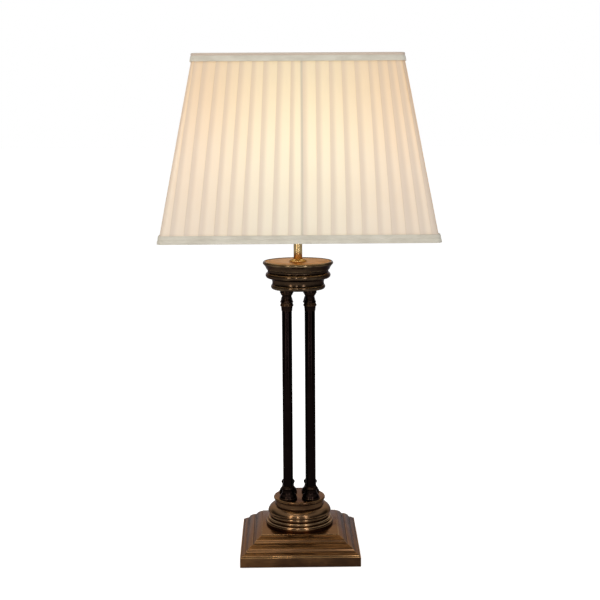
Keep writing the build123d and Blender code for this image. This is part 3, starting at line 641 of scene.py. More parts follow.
def turned(
    start: tuple[float, float], *steps: Step, sides: int = 96, closed: bool = True, ease: float = 0.3,
) -> Mesh:
    """Turns a half section about Z; four sides give a square piece with mitred corners.

    Args:
        start: First radius and height.
        *steps: Further radii and heights, each with the swell of its arc if it has one.
        sides: Steps round the axis.
        closed: Whether the run ends where it starts.
        ease: How far the sharp edges are rounded off.

    Returns:
        The turned mesh, facing outwards.
    """
    stretch = 1 / math.cos(math.pi / 4) if sides == 4 else 1.0
    mesh = bmesh.new()
    run = [mesh.verts.new((p.x * stretch, 0, p.y)) for p in section_points(start, steps)]
    edges = [mesh.edges.new(pair) for pair in zip(run, run[1:])]
    if closed:
        edges.append(mesh.edges.new((run[-1], run[0])))
    bmesh.ops.spin(
        mesh, geom=run + edges, cent=(0, 0, 0), axis=(0, 0, 1), dvec=(0, 0, 0),
        angle=math.tau, steps=sides, use_merge=True,
    )
    if sides == 4:
        eighth = Matrix.Rotation(math.pi / 4, 3, "Z")
        bmesh.ops.rotate(mesh, verts=mesh.verts[:], cent=(0, 0, 0), matrix=eighth)
    bmesh.ops.remove_doubles(mesh, verts=mesh.verts[:], dist=0.0005)
    bmesh.ops.dissolve_degenerate(mesh, edges=mesh.edges[:], dist=0.0001)
    bmesh.ops.recalc_face_normals(mesh, faces=mesh.faces[:])
    round_edges(mesh, ease)
    return mesh


def round_edges(mesh: Mesh, ease: float, least_turn: float = 24.0) -> None:
    """Rounds off the sharp edges of a mesh.

    Args:
        mesh: The mesh to change.
        ease: Width of the rounding.
        least_turn: Edges that turn by fewer degrees stay.
    """
    sharp = [e for e in mesh.edges if e.is_manifold and e.calc_face_angle(0) > math.radians(least_turn)]
    if ease > 0 and sharp:
        bmesh.ops.bevel(
            mesh, geom=sharp, offset=ease, offset_type="OFFSET", affect="EDGES", segments=3,
            profile=0.5, material=-1, clamp_overlap=True,
        )


def mark_relief(mesh: Mesh) -> None:
    """Writes how far each face stands on a crest, and how far it faces up, for the patina and its painted
    light on upward faces.

    Args:
        mesh: The mesh to mark, in millimetres.
    """
    crest = mesh.faces.layers.float.new("crest")
    facing = mesh.faces.layers.float.new("facing_up")
    area = {face: face.calc_area() for face in mesh.faces}
    for face in mesh.faces:
        bend = 0.0
        for edge in face.edges:
            if edge.is_manifold:
                width = sum(area[f] for f in edge.link_faces) / 2 / max(edge.calc_length(), 1e-6)
                bend += edge.calc_face_angle_signed(0) / max(width, 0.05)
        face[crest] = math.tanh(bend * 0.9)
        face[facing] = face.normal.z


def wrapped(
    columns: int, rows: int, place: Callable[[int, int], Vector], closed_rows: bool = False,
    cloth_place: Optional[Callable[[int, int], tuple[float, float]]] = None,
) -> Mesh:
    """Bends a flat grid of cloth round the shade and closes it on itself.

    Args:
        columns: Steps round the shade.
        rows: Steps along the other way.
        place: Where a corner of the grid goes, by its column and row.
        closed_rows: Whether the last row also meets the first.
        cloth_place: UV place of a corner, by its column and row.

    Returns:
        The bent mesh.
    """
    mesh = bmesh.new()
    bmesh.ops.create_grid(mesh, x_segments=columns, y_segments=rows, size=1.0)
    spots = {
        vert: (round((vert.co.x + 1) / 2 * columns), round((vert.co.y + 1) / 2 * rows))
        for vert in mesh.verts
    }
    if cloth_place:
        layer = mesh.loops.layers.uv.new("cloth")
        for face in mesh.faces:
            for loop in face.loops:
                loop[layer].uv = cloth_place(*spots[loop.vert])
    for vert, (column, row) in spots.items():
        vert.co = place(column, row)
    seam = [v for v, (column, _row) in spots.items() if column in (0, columns)]
    if closed_rows:
        seam += [v for v, (_column, row) in spots.items() if row in (0, rows)]
    bmesh.ops.remove_doubles(mesh, verts=list(dict.fromkeys(seam)), dist=0.001)
    return mesh


def placed(name: str, data: bpy.types.ID) -> bpy.types.Object:
    """Puts a new object into the scene.

    Args:
        name: The object's name.
        data: Its mesh, light or camera.

    Returns:
        The object.
    """
    made = bpy.data.objects.new(name, data)
    bpy.context.scene.collection.objects.link(made)
    return made


def solid(name: str, mesh: Mesh) -> bpy.types.Object:
    """Puts a finished mesh into the scene.

    Args:
        name: The new object's name.
        mesh: The mesh; it is used up.

    Returns:
        The object.
    """
    data = bpy.data.meshes.new(name)
    mesh.to_mesh(data)
    mesh.free()
    return placed(name, data)


@dataclass(frozen=True)
class Piece:
    """What a piece is called, rides on and stands for."""

    name: str
    body: Body
    slot: str
    nodes: tuple[str, ...]

    def make(self, mesh: Mesh, material: bpy.types.Material, crisp: float = 22.0) -> bpy.types.Object:
        """Turns a finished mesh into a dressed piece on its body.

        Args:
            mesh: The mesh, in millimetres; it is used up.
            material: The piece's material.
            crisp: Edges that turn by more degrees stay crisp.

        Returns:
            The new object.
        """
        mark_relief(mesh)
        bmesh.ops.scale(mesh, vec=(MM, MM, MM), verts=mesh.verts[:])
        piece = solid(self.name, mesh)
        piece.data.shade_smooth()
        piece.data.set_sharp_from_angle(angle=math.radians(crisp))
        piece.data.materials.append(material)
        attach(piece, self.body.value)
        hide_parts(*self.nodes)
        log.info("%s: %d faces", self.name, len(piece.data.polygons))
        return piece


def span(node: str) -> tuple[Vector, Vector]:
    """Lowest and highest corner of a node of the frame, in millimetres."""
    low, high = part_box(node)
    return low / MM, high / MM


# ---------------------------------------------------------------- metalwork
@dataclass
class Base:
    """Square stepped plinth and its felt."""

    half_side: float = 83.0
    rim_height: float = 0.8
    face_top: float = 15.0
    lip: float = 0.8
    wall: float = 3.0
    platform_half: float = 53.4
    platform_height: float = 37.2
    swell: float = 0.45
    felt_corner: float = 3.5
    metal: AgedMetal = AgedMetal("aged_brass_plinth", wear=-0.03)
    baize: Baize = Baize("green_baize")

    def build(self) -> None:
        """Builds the plinth casting and the felt under it."""
        self._casting()
        self._felt()

    def _casting(self) -> None:
        """The plinth: a hollow casting with mitred steps, open underneath."""
        side, wall, bulge, lip = self.half_side, self.wall, self.swell, self.lip
        half, height = self.platform_half, self.platform_height
        mesh = turned(
            (side - wall, self.rim_height), (side, self.rim_height), (side, self.face_top - lip),
            (side - lip, self.face_top, 0.23), (80.6, 15.0), (80.6, 15.8), (76.4, 18.4, bulge),
            (73.2, 22.4, -bulge), (66.4, 27.4, bulge), (65.2, 27.4), (61.6, 31.2, -bulge),
            (54.2, 36.4, bulge), (half, 36.4), (half, height), (0, height), (0, height - wall),
            (half - wall, height - wall), (side - wall, self.face_top - wall),
            sides=4, ease=0.35,
        )
        piece = Piece("plinth_casting", Body.LAMP, "antique_brass", ("plinth",))
        piece.make(mesh, self.metal.material())

    def _felt(self) -> None:
        """The felt: a thin square of baize with rounded corners."""
        low, high = span("felt_pad")
        mesh = bmesh.new()
        bmesh.ops.create_grid(mesh, x_segments=18, y_segments=18, size=high.x)
        mesh.normal_update()
        edge = high.x - 0.01
        corners = [v for v in mesh.verts if abs(v.co.x) > edge and abs(v.co.y) > edge]
        bmesh.ops.bevel(
            mesh, geom=corners, offset=self.felt_corner, offset_type="OFFSET", affect="VERTICES",
            segments=6, profile=0.5, material=-1,
        )
        top = bmesh.ops.extrude_face_region(mesh, geom=mesh.faces[:])
        raised = [v for v in top["geom"] if isinstance(v, bmesh.types.BMVert)]
        bmesh.ops.translate(mesh, verts=raised, vec=(0, 0, high.z - low.z))
        bmesh.ops.translate(mesh, verts=mesh.verts[:], vec=(0, 0, low.z))
        bmesh.ops.recalc_face_normals(mesh, faces=mesh.faces[:])
        round_edges(mesh, 0.4, 60)
        felt = Piece("base_felt", Body.LAMP, "felt", ("felt_pad",)).make(mesh, self.baize.material(), 60)


@dataclass
class Pedestal:
    """Ringed pedestal and the disc that the columns stand on."""

    foot: float = 37.2
    top: float = 72.4
    groove: float = 0.55
    ring_swell: float = 1.1
    ring_radii: tuple[float, float, float] = (47.1, 44.1, 41.5)
    ring_heights: tuple[float, float, float] = (43.9, 48.7, 54.15)
    drum_radius: float = 34.4
    bore: float = 38.0
    bore_top: float = 54.0
    wall: float = 3.0
    disc_top: float = 77.2
    metal: AgedMetal = AgedMetal(
        "aged_brass_pedestal", wear=0.02, roughness=0.15,
        bronze=(0.205, 0.114, 0.054), rubbed=(0.50, 0.34, 0.19),
    )
    dark_metal: AgedMetal = AgedMetal("aged_brass_column_plate", wear=-0.06)

    def build(self) -> None:
        """Builds the pedestal and the column plate."""
        low_ring, mid_ring, high_ring = self.ring_radii
        low_top, mid_top, high_top = self.ring_heights
        gap, swell, drum, top = self.groove, self.ring_swell, self.drum_radius, self.top
        inside, ceiling = drum - self.wall, top - self.wall
        mesh = turned(
            (self.bore, self.foot), (low_ring, self.foot), (low_ring, low_top, swell),
            (mid_ring, low_top + gap), (mid_ring, mid_top, swell), (high_ring, mid_top + gap),
            (high_ring, high_top, swell), (42.8, high_top + gap), (44.7, 56.6, 0.56), (drum, 65.5, 2.31),
            (drum, top - gap), (drum + gap, top), (0, top), (0, ceiling), (inside, ceiling),
            (inside, self.bore_top), (self.bore, self.bore_top),
        )
        piece = Piece("ringed_pedestal", Body.LAMP, "antique_brass", ("pedestal",))
        piece.make(mesh, self.metal.material())
        disc = turned(
            (0, top), (35.05, top), (36.4, 74.3, 0.38), (34.5, self.disc_top, 0.95), (0, self.disc_top),
            closed=False,
        )
        plate = Piece("column_disc", Body.LAMP, "antique_brass", ("column_plate",))
        plate.make(disc, self.dark_metal.material())


@dataclass
class Columns:
    """Four slim columns, each a turned foot, a plain shaft and a turned capital."""

    spacing: float = 16.0
    foot: float = 77.2
    top: float = 375.3
    shaft_radius: float = 7.0
    shaft_bore: float = 6.0
    shaft_low: float = 92.0
    shaft_high: float = 350.7
    socket_radius: float = 7.03
    collar_radius: float = 7.63
    rod_bore: float = 5.3
    sides: int = 56
    places: tuple[tuple[str, int, int], ...] = (
        ("front_left", -1, -1),
        ("front_right", 1, -1),
        ("rear_left", -1, 1),
        ("rear_right", 1, 1),
    )
    shaft_metal: AgedMetal = AgedMetal(
        "dark_bronze_shaft", brown=(0.007, 0.004, 0.004), bronze=(0.015, 0.009, 0.009),
        rubbed=(0.08, 0.045, 0.03), lacquer=0.02, wear=-0.12, roughness=0.11, turning_marks=0.2,
    )
    turned_metal: AgedMetal = AgedMetal(
        "dark_bronze_turned", brown=(0.010, 0.005, 0.004), bronze=(0.028, 0.015, 0.010),
        rubbed=(0.12, 0.07, 0.04), lacquer=0.06, wear=-0.10, roughness=0.14,
    )

    def build(self) -> None:
        """Builds the twelve pieces of the columns."""
        shafts, ends = self.shaft_metal.material(), self.turned_metal.material()
        kinds = (
            ("turned_foot_", "column_foot_", "antique_brass", self._foot, ends),
            ("plain_shaft_", "column_shaft_", "dark_bronze", self._shaft, shafts),
            ("turned_capital_", "column_capital_", "antique_brass", self._capital, ends),
        )
        for place, side, depth in self.places:
            for name, node, slot, shape, material in kinds:
                mesh = shape()
                shift = (side * self.spacing, depth * self.spacing, 0)
                bmesh.ops.translate(mesh, verts=mesh.verts[:], vec=shift)
                Piece(name + place, Body.LAMP, slot, (node + place,)).make(mesh, material)

    def _foot(self) -> Mesh:
        """A column's foot: disc, flare, neck and collar.

        Returns:
            The foot, on the axis.
        """
        bore, socket, collar, low = self.rod_bore, self.socket_radius, self.collar_radius, self.foot
        return turned(
            (bore, low), (12.6, low), (12.6, 79.6, 0.24), (12.2, 79.6), (10.3, 83.6, 0.24),
            (8.4, 88.0, -0.53), (8.4, 90.3), (8.4, 94.9, 1.25), (collar, 96.0), (socket, 96.0),
            (socket, self.shaft_low), (bore, self.shaft_low),
            sides=self.sides, ease=0.2,
        )

    def _shaft(self) -> Mesh:
        """A column's shaft on the axis: a plain tube."""
        bore, radius, low, high = self.shaft_bore, self.shaft_radius, self.shaft_low, self.shaft_high
        return turned((bore, low), (radius, low), (radius, high), (bore, high), sides=self.sides, ease=0.15)

    def _capital(self) -> Mesh:
        """A column's capital: ring, bead, vase, neck, flare, step and disc.

        Returns:
            The capital, on the axis.
        """
        bore, socket, collar, top = self.rod_bore, self.socket_radius, self.collar_radius, self.top
        return turned(
            (socket, 346.7), (collar, 346.7), (collar, 348.5), (8.154, 353.1), (8.154, 355.7, 1.196),
            (7.818, 355.7), (7.818, 357.4, 0.782), (8.1, 358.0), (6.4, 363.0, 0.15), (6.4, 366.3),
            (8.2, 369.4, -0.37), (8.2, 370.7), (9.3, 371.3), (9.3, top), (bore, top),
            (bore, self.shaft_high), (socket, self.shaft_high),
            sides=self.sides, ease=0.2,
        )


@dataclass
class Crown:
    """Ringed capital over the columns, its disc and the stem that carries the lampholder."""

    foot: float = 375.3
    rim: float = 414.0
    floor: float = 379.3
    rod_bore: float = 5.3
    disc_low: float = 411.6
    disc_top: float = 413.4
    disc_radius: float = 46.35
    stem_bore: float = 5.05
    stem_radius: float = 6.0
    stem_low: float = 416.8
    stem_high: float = 478.6
    metal: AgedMetal = AgedMetal(
        "aged_brass_crown", brown=(0.026, 0.015, 0.009), bronze=(0.095, 0.058, 0.033),
        rubbed=(0.38, 0.28, 0.16), wear=0.03, roughness=0.13,
    )
    disc_metal: LacqueredMetal = LacqueredMetal(
        "copper_toned_disc", bright=(0.60, 0.30, 0.12), dull=(0.46, 0.22, 0.08), roughness=0.32,
        grain=(1, 1, 1), edge=(0.84, 0.68, 0.47),
    )
    stem_metal: LacqueredMetal = LacqueredMetal(
        "polished_brass_stem", bright=(0.86, 0.62, 0.30), dull=(0.78, 0.54, 0.24), roughness=0.20,
        grain=(1, 1, 0.05), depth=0.0, edge=(0.16, 0.09, 0.03),
    )

    def build(self) -> None:
        """Builds the capital, its disc, the stem's collar and the stem."""
        self._capital()
        bore, top, low, high = self.stem_bore, self.disc_top, self.stem_low, self.stem_high
        disc = turned(
            (bore, self.disc_low), (self.disc_radius, self.disc_low), (self.disc_radius, top), (bore, top),
            ease=0.2,
        )
        piece = Piece("top_disc", Body.LAMP, "copper_toned_brass", ("top_plate",))
        piece.make(disc, self.disc_metal.material())
        brass = self.stem_metal.material()
        collar = turned(
            (bore, top), (11.5, top), (11.5, 414.93, 0.41), (7.7, low, -0.51), (bore, low), ease=0.15)
        Piece("stem_collar", Body.LAMP, "polished_brass", ("stem_seat",)).make(collar, brass)
        radius = self.stem_radius
        pipe = turned((bore, low), (radius, low), (radius, high), (bore, high), sides=56, ease=0.12)
        Piece("stem_pipe", Body.LAMP, "polished_brass", ("stem_tube",)).make(pipe, brass)

    def _capital(self) -> None:
        """The hollow ringed bowl, open at the top under its disc."""
        mesh = turned(
            (self.rod_bore, self.foot), (35.6, self.foot), (36.7, 381.5, 1.7), (36.2, 381.9),
            (37.0, 389.0, -0.6), (40.4, 390.5), (43.4, 398.3, 3.34), (42.3, 398.85),
            (42.85, 402.3, -0.3), (43.8, 402.85), (48.1, 409.7, -0.5), (47.8, self.rim, 1.0),
            (46.4, self.rim), (46.4, 411.0), (44.4, 410.0), (39.5, 402.0), (39.5, 396.0),
            (33.6, 388.0), (33.6, self.floor), (self.rod_bore, self.floor),
        )
        piece = Piece("capital_bowl", Body.LAMP, "antique_brass", ("entablature",))
        piece.make(mesh, self.metal.material())


@dataclass
class Bulb:
    """Round bulb, lit."""

    neck_radius: float = 12.4
    neck_low: float = 541.3
    neck_high: float = 543.0
    globe_radius: float = 30.0
    globe_centre: float = 592.3
    globe_drop: float = 18.0
    glass: LitGlass = LitGlass("lit_opal_glass")

    def build(self) -> None:
        """Builds the glass: a short neck, a hollow shoulder and the globe."""
        drop, radius = self.globe_drop, self.globe_radius
        waist = math.sqrt(radius ** 2 - drop ** 2)
        half_turn = math.asin(math.hypot(waist, drop + radius) / (2 * radius))
        mesh = turned(
            (self.neck_radius, self.neck_low), (self.neck_radius, self.neck_high),
            (waist, self.globe_centre - drop, -2.2),
            (0, self.globe_centre + radius, radius * (1 - math.cos(half_turn))),
            closed=False, ease=0,
        )
        piece = Piece("bulb_globe", Body.BULB, "bulb_glass", ("bulb_glass",))
        piece.make(mesh, self.glass.material(), 60)


# ---------------------------------------------------------------- shade
@dataclass
class Shade:
    """Square tapered shade: pleated cover, two bindings and a lining."""

    low: float = 455.0
    high: float = 690.0
    low_half: float = 177.8
    high_half: float = 134.0
    corner_radius: float = 9.0
    peak_depth: float = 1.70
    valley_depth: float = 3.75
    tuck: float = 0.46
    edge_gap: float = 1.62
    cover_rows: int = 14
    lining_rows: int = 12
    lining_depth: float = 8.3
    folds_low: tuple[float, ...] = (
        0.0379, 0.0890, 0.1401, 0.1960, 0.2426, 0.2937, 0.3497, 0.4008, 0.4588, 0.5078,
        0.5617, 0.6104, 0.6663, 0.7223, 0.7779, 0.8269, 0.8780, 0.9284, 0.9701,
    )
    folds_high: tuple[float, ...] = (
        0.0139, 0.0579, 0.1180, 0.1720, 0.2278, 0.2866, 0.3394, 0.4046, 0.4667, 0.5134,
        0.5810, 0.6435, 0.7014, 0.7616, 0.8264, 0.8699, 0.9153, 0.9537, 0.9907,
    )
    cloth: PleatedCloth = PleatedCloth("pleated_cream_cloth")
    binding: BindingCloth = BindingCloth("binding_cloth")
    lining: BindingCloth = BindingCloth(
        "lining_cloth", cream=(0.80, 0.78, 0.72), grey=(0.72, 0.69, 0.62), glow=Glow(power=0.5))

    def build(self) -> None:
        """Builds the four cloth pieces."""
        upper = self._binding(Edge.UPPER)
        lower = self._binding(Edge.LOWER)
        self._cover()
        self._lining()

    def half(self, height: float) -> float:
        """Half the shade's side at a height."""
        share = (height - self.low) / (self.high - self.low)
        return self.low_half + (self.high_half - self.low_half) * share

    def side_place(self, side: int, along: float, depth: float, height: float) -> Vector:
        """A place on one side of the shade, wrapped round its corners.

        Args:
            side: 0 for the front, then 1 to 3 to the right round the shade.
            along: Distance along the side from its middle, to the right seen from outside.
            depth: How far inside the shade's face.
            height: Height above the table.

        Returns:
            The place.
        """
        half = self.half(height)
        flat = half - self.corner_radius
        radius = self.corner_radius - depth
        over = max(0.0, abs(along) - flat)
        angle = min(over / self.corner_radius, math.pi / 4)
        x = math.copysign(min(abs(along), flat) + radius * math.sin(angle), along)
        y = -(flat + radius * math.cos(angle))
        return Matrix.Rotation(side * math.pi / 2, 3, "Z") @ Vector((x, y, height))

    def reach(self, height: float) -> float:
        """Length from a side's middle to the middle of its corner, round the corner."""
        return self.half(height) + self.corner_radius * (math.pi / 4 - 1)

    def _fold_at(self, side: int, index: int, share: float) -> float:
        """Place of a fold along a side.

        Args:
            side: Number of the side.
            index: Number of the fold on it.
            share: 0 at the lower edge, 1 at the upper one.

        Returns:
            The place as a part of the side, -1 to 1.
        """
        low, high = self.folds_low[index], self.folds_high[index]
        wander = 0.0035 * math.sin(side * 2.1 + index * 1.7) if side else 0.0
        return 2 * (low + (high - low) * share + wander) - 1

    def _cover(self) -> None:
        """The cover: one strip of cloth in knife pleats round all four sides.
        """
        low, high = self.low + self.edge_gap, self.high - self.edge_gap
        count = len(self.folds_low)
        plies = self._pleat_points()
        columns = [(side, fold, ply) for side in range(4) for fold in range(count) for ply in plies]

        def place(column: int, row: int) -> Vector:
            """Where a corner of the strip goes.

            Args:
                column: The corner's column.
                row: The corner's row.

            Returns:
                The place, in millimetres.
            """
            side, fold, (shift, depth, _mark) = columns[column % len(columns)]
            share = row / self.cover_rows
            height = low + (high - low) * share
            here = self._fold_at(side, fold, share)
            if fold + 1 < count:
                after = self._fold_at(side, fold + 1, share)
            else:
                after = self._fold_at((side + 1) % 4, 0, share) + 2
            reach = self.reach(height)
            along = (here + (after - here) * shift) * reach
            if along > reach:
                side, along = side + 1, along - 2 * reach
            squeeze = 1 - 0.25 * share
            waver = 0.16 * math.sin(fold * 2.3 + side * 1.3 + share * 5.0) * math.sin(math.pi * share)
            total = self.peak_depth + (self.valley_depth - self.peak_depth) * depth * squeeze - waver
            return self.side_place(side, along, total, height)

        def cloth_place(column: int, row: int) -> tuple[float, float]:
            """UV place of a corner of the strip."""
            _side, _fold, (_shift, _depth, mark) = columns[column % len(columns)]
            return column // len(plies) + mark, row / self.cover_rows

        mesh = wrapped(len(columns), self.cover_rows, place, cloth_place=cloth_place)
        panels = tuple("pleated_panel_" + side for side in ("front", "right", "back", "left"))
        piece = Piece("pleated_cover", Body.SHADE, "pleated_fabric", panels)
        cover = piece.make(mesh, self.cloth.material(), 50)
        ring = 8 * self.reach((self.low + self.high) / 2)

    def _pleat_points(self) -> list[tuple[float, float, float]]:
        """Points of one pleat: place across its pitch, depth share and UV mark.

        Returns:
            From the fold's nose along the face, in under the next fold and back.
        """
        tuck = self.tuck
        steps = (0.02, 0.12, 0.25, 0.4, 0.55, 0.7, 0.85, 1.0)
        face = [(share, 0.04 + 0.50 * share, share) for share in steps]
        under = [(1 + tuck * 0.5, 0.86, 1.0), (1 + tuck, 0.98, 1.0)]
        back = [(1 + tuck * 0.5, 0.62, 1.0), (1.02, 0.36, 1.0)]
        return [(0.0, 0.10, 0.0), *face, *under, *back, (1.0, 0.22, 1.0)]

    def _ring_places(self) -> list[tuple[int, float]]:
        """Stations round the shade for its plain bands: side and place along it, -1 to 1.

        Returns:
            The stations, starting at the front left corner.
        """
        corner = [0.905, 0.925, 0.945, 0.965, 0.985]
        flat = [step / 22 * 0.88 for step in range(-22, 23)]
        along = [-1.0, *[-c for c in reversed(corner)], *flat, *corner]
        return [(side, place) for side in range(4) for place in along]

    def _binding(self, edge: Edge) -> bpy.types.Object:
        """A binding: a strip of cloth folded over one edge of the shade.

        Args:
            edge: Which edge of the shade it is on.

        Returns:
            The binding.
        """
        up = edge.value
        rim = self.low if edge is Edge.LOWER else self.high
        # Reach down the outer and the inner face, thickness of the cloth, depth between the faces.
        outer, inner, ply, depth_over = 10.5, 8.0, 1.5, 9.9
        crease = 2.9 if edge is Edge.UPPER else 5.2
        section = [
            (1.25, outer), (0.45, outer), (0.12, outer - 0.8), (0.0, (outer + crease) / 2),
            (0.30, crease + 0.45), (0.62, crease), (0.22, crease - 0.45), (0.0, crease / 2),
            (0.25, 0.35), (0.9, 0.0), (5.0, -0.05), (9.1, 0.0), (9.75, 0.5), (9.93, inner / 2),
            (9.8, inner - 0.4), (9.2, inner), (8.78, inner - 0.5), (8.73, ply + 0.6), (8.3, ply),
            (5.0, ply), (1.9, ply), (ply, ply + 0.4), (ply, outer - 0.5),
        ]
        stations = self._ring_places()

        def place(column: int, row: int) -> Vector:
            """Where a corner of the strip goes.

            Args:
                column: The corner's column.
                row: The corner's row.

            Returns:
                The place, in millimetres.
            """
            side, along = stations[column % len(stations)]
            depth, rise = section[row % len(section)]
            height = rim + up * rise
            ripple = 0.10 * math.sin(side * 1.9 + along * 17) + 0.07 * math.sin(along * 43 + side)
            outside = 1.0 if depth < 1.0 and 0.5 < rise < outer - 0.5 else 0.0
            total = depth + outside * (0.08 + ripple * 0.5)
            return self.side_place(side, along * self.reach(height), max(total, 0.0), height)

        mesh = wrapped(len(stations), len(section), place, closed_rows=True)
        bmesh.ops.recalc_face_normals(mesh, faces=mesh.faces[:])
        which = edge.name.lower()
        piece = Piece(which + "_binding", Body.SHADE, "trim_fabric", (f"shade_{which}_trim",))
        binding = piece.make(mesh, self.binding.material(), 60)
        flat = (8 * self.reach(rim) * MM, (outer + inner + depth_over) * MM)
        return binding

    def _lining(self) -> None:
        """The lining: smooth cloth inside the frame, in very soft gathers."""
        low, high = self.low + self.edge_gap, self.high - self.edge_gap
        stations = self._ring_places()

        def place(column: int, row: int) -> Vector:
            """Where a corner of the lining goes.

            Args:
                column: The corner's column.
                row: The corner's row.

            Returns:
                The place, in millimetres.
            """
            side, along = stations[column % len(stations)]
            share = row / self.lining_rows
            height = low + (high - low) * share
            gather = 0.10 * math.sin(column * 2.7 + side) * math.sin(math.pi * share)
            return self.side_place(side, along * self.reach(height), self.lining_depth + gather, height)

        mesh = wrapped(len(stations), self.lining_rows, place)
        bmesh.ops.reverse_faces(mesh, faces=mesh.faces[:])
        piece = Piece("shade_lining_cloth", Body.SHADE, "lining_fabric", ("shade_lining",))
        lining = piece.make(mesh, self.lining.material(), 60)
        flat = (8 * self.reach((low + high) / 2) * MM, (high - low) * 1.02 * MM)


# ---------------------------------------------------------------- fittings carried over
@dataclass
class Fittings:
    """Dresses the nodes of the frame that stay as they are."""

    finishes: tuple[tuple[str, Finish], ...] = (
        ("zinc_steel", LacqueredMetal("zinc_plate", (0.60, 0.61, 0.62), (0.45, 0.46, 0.48), 0.35)),
        ("cast_iron", Casting("cast_iron_skin")),
        ("antique_brass", AgedMetal("aged_brass_fitting")),
        ("dark_bronze", AgedMetal("dark_bronze_fitting", wear=-0.1)),
        ("copper_toned_brass", LacqueredMetal("copper_fitting", (0.62, 0.34, 0.17), (0.40, 0.20, 0.09))),
        ("polished_brass", LacqueredMetal(
            "polished_brass_fitting", (0.83, 0.58, 0.20), (0.60, 0.38, 0.12), 0.16)),
        ("black_plastic", Moulding("black_moulding", (0.018, 0.018, 0.019), (0.03, 0.03, 0.031))),
        ("white_moulding", Moulding("white_moulding_skin", (0.78, 0.77, 0.74), (0.70, 0.69, 0.65))),
        ("bulb_cap_metal", LacqueredMetal("bulb_cap_skin", (0.74, 0.74, 0.72), (0.56, 0.56, 0.54), 0.25)),
        ("bulb_glass", LitGlass("opal_glass_inner")),
        ("bulb_mount_glass", Moulding("clear_mount", (0.75, 0.76, 0.74), (0.65, 0.66, 0.64), 0.1)),
        ("white_coated_wire", Moulding("white_wire_coating", (0.80, 0.80, 0.78), (0.70, 0.70, 0.67), 0.35)),
    )

    def build(self, nodes: Mapping[str, bpy.types.Object]) -> None:
        """Gives every shown node the finish of its slot.

        Args:
            nodes: The nodes of the frame, by name.
        """
        made = {slot: finish.material() for slot, finish in self.finishes}
        for name, node in nodes.items():
            if node.hide_render or not node.data.materials:
                continue
            slot = node.data.materials[0].name.split(".")[0]
            if slot in made:
                node.data.materials[0] = made[slot]
                log.info("%s: %s", name, slot)
            else:
                log.warning("%s has no finish for %s", name, slot)


# ---------------------------------------------------------------- studio
@dataclass(frozen=True)
class Panel:
    """A soft panel light that faces the lamp.

    Its turn is in degrees to the right of the front, seen from the lamp, and a radiance of 1
    is white.  A panel that isn't mirrored doesn't show in polished surfaces.
    """

    name: str
    turn: float
    distance: float
    height: float
    width: float
    length: float
    radiance: float
    colour: Colour = (1.0, 0.98, 0.95)
    mirrored: bool = True
    aim_height: float = 330.0

    def build(self, lamp_turn: float) -> None:
        """Adds the light.

        Args:
            lamp_turn: How far the lamp is turned from the camera, in degrees.
        """
        data = bpy.data.lights.new(self.name, "AREA")
        data.shape = "RECTANGLE"
        data.size, data.size_y = self.width * MM, self.length * MM
        data.energy = self.radiance * math.pi * data.size * data.size_y
        data.color = self.colour
        light = placed(self.name, data)
        angle = math.radians(self.turn - lamp_turn)
        across, ahead = math.sin(angle) * self.distance, math.cos(angle) * self.distance
        light.location = Vector((across, -ahead, self.height)) * MM
        aim = Vector((0, 0, self.aim_height * MM)) - light.location
        light.rotation_euler = aim.to_track_quat("-Z", "Y").to_euler()
        light.visible_camera = False
        light.visible_glossy = self.mirrored


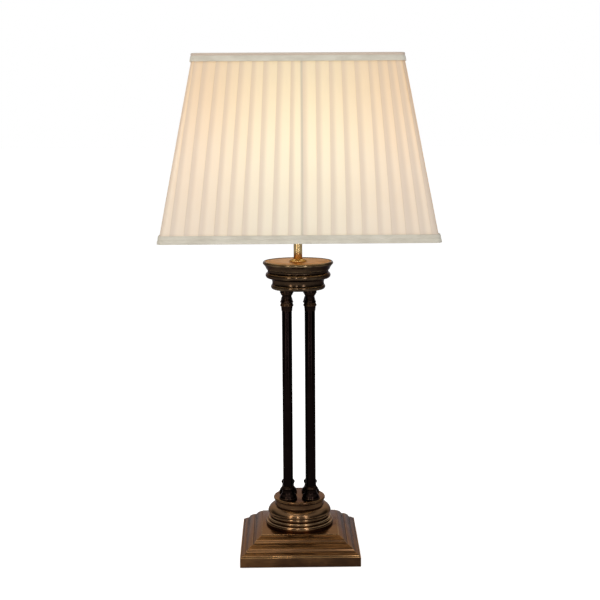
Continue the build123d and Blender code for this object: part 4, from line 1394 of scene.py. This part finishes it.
@dataclass
class Studio:
    """Pale floor, white backdrop, soft lights and the photograph's camera."""

    lens: float = 71.134
    distance: float = 1636.7
    height: float = 600.7
    offset: float = 2.48
    tilt: float = 8.402
    roll: float = 0.343
    lamp_turn: float = 0.783
    surround: float = 0.42
    room_front: float = 0.055
    room_top: float = 0.50
    zenith: float = 0.12
    floor_glow: float = 0.70
    floor_dark: Colour = (0.84, 0.84, 0.84)
    floor_light: Colour = (0.86, 0.86, 0.86)
    floor_mirrored: Colour = (0.62, 0.62, 0.62)
    white: Colour = (1.0, 1.0, 1.0)
    panels: tuple[Panel, ...] = (
        Panel("left_strip", -33, 1500, 750, 150, 1500, 8.0, (1.0, 0.90, 0.76)),
        Panel("middle_strip", -6, 2100, 900, 110, 1500, 9.0, (1.0, 0.97, 0.93)),
        Panel("right_strip", 24, 1500, 750, 160, 1500, 6.5, (1.0, 0.97, 0.94)),
        Panel("rear_left", -132, 1700, 900, 1500, 1500, 0.9, mirrored=False),
        Panel("rear_right", 132, 1700, 900, 1500, 1500, 0.9, mirrored=False),
        Panel("overhead", -36, 900, 1900, 1300, 300, 2.4),
    )

    def build(self) -> None:
        """Builds the floor, the world, the lights and the camera."""
        self._floor()
        self._world()
        for panel in self.panels:
            panel.build(self.lamp_turn)
        self._camera()

    def _floor(self) -> None:
        """The plain pale floor, white to the camera where nothing shades it."""
        mesh = bmesh.new()
        bmesh.ops.create_grid(mesh, x_segments=2, y_segments=2, size=30.0)
        floor = solid("floor", mesh)
        shader = Shader("floor_paper")
        path = shader.node("ShaderNodeLightPath")
        seen = Signal(shader, path.outputs["Is Camera Ray"])
        mirrored = Signal(shader, path.outputs["Is Glossy Ray"])
        paper = shader.blend(shader.noise(3, 2), self.floor_dark, self.floor_light)
        shader.dress(
            Base_Color=shader.blend(mirrored, paper, self.floor_mirrored), Roughness=0.9,
            Emission_Color=shader.scaled(self.white, seen * self.floor_glow), Emission_Strength=1.0,
        )
        floor.data.materials.append(shader.material)
        floor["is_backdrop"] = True

    def _world(self) -> None:
        """White behind the lamp and in its metal and glass, a softer light elsewhere."""
        world = bpy.data.worlds.new("studio")
        bpy.context.scene.world = world
        graph = Graph(world)
        direction = graph.node("ShaderNodeTexCoord").outputs["Generated"]
        split = graph.node("ShaderNodeSeparateXYZ", None, {0: direction})
        backdrop = Signal(graph, split.outputs[1]).between(0.42, 0.96)
        rise = Signal(graph, split.outputs[2])
        room = self.room_front + rise.between(0.30, 0.62) * (self.room_top - self.room_front)
        room = room + rise.between(0.74, 0.92) * (self.zenith - self.room_top)
        mirrored = room + (1 - room) * backdrop
        path = graph.node("ShaderNodeLightPath")
        rays = ("Is Camera Ray", "Is Glossy Ray", "Is Transmission Ray")
        camera, glossy, through = (Signal(graph, path.outputs[name]) for name in rays)
        polished = graph.math("MAXIMUM", glossy, through)
        strength = self.surround + polished * (mirrored - self.surround)
        strength = strength + camera * (1 - strength)
        inputs = {"Color": self.white, "Strength": strength}
        background = graph.node("ShaderNodeBackground", None, inputs)
        graph.node("ShaderNodeOutputWorld", None, {"Surface": background.outputs[0]})

    def _camera(self) -> None:
        """The camera where the photograph was taken from."""
        data = bpy.data.cameras.new("camera")
        data.sensor_width = 36.0
        data.lens = self.lens
        camera = placed("camera", data)
        bpy.context.scene.camera = camera
        turn = Matrix.Rotation(-math.radians(self.lamp_turn), 3, "Z")
        tilt = Matrix.Rotation(math.radians(90 - self.tilt), 3, "X")
        roll = Matrix.Rotation(-math.radians(self.roll), 3, "Z")
        camera.location = turn @ Vector((self.offset, -self.distance, self.height)) * MM
        camera.rotation_euler = (turn @ tilt @ roll).to_euler()
        data.clip_start, data.clip_end = 0.05, 60.0


def corners(box: tuple[Vector, Vector]) -> list[list[float]]:
    """A box as plain lists of numbers."""
    return [list(box[0]), list(box[1])]


def main() -> None:
    """Loads the frame, builds the lamp's pieces in order and sets up the studio."""
    logging.basicConfig(level=logging.INFO, format="%(name)s: %(message)s")
    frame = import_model()
    solid_box = corners(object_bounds())
    bpy.context.scene.view_settings.view_transform = "Standard"
    for assembly in (Base(), Pedestal(), Columns(), Crown(), Bulb(), Shade()):
        log.info("building %s", type(assembly).__name__)
        assembly.build()
    Fittings().build(frame["nodes"])
    Studio().build()
    {"cad": solid_box, "visual": corners(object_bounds())}


if __name__ == "__main__":
    main()
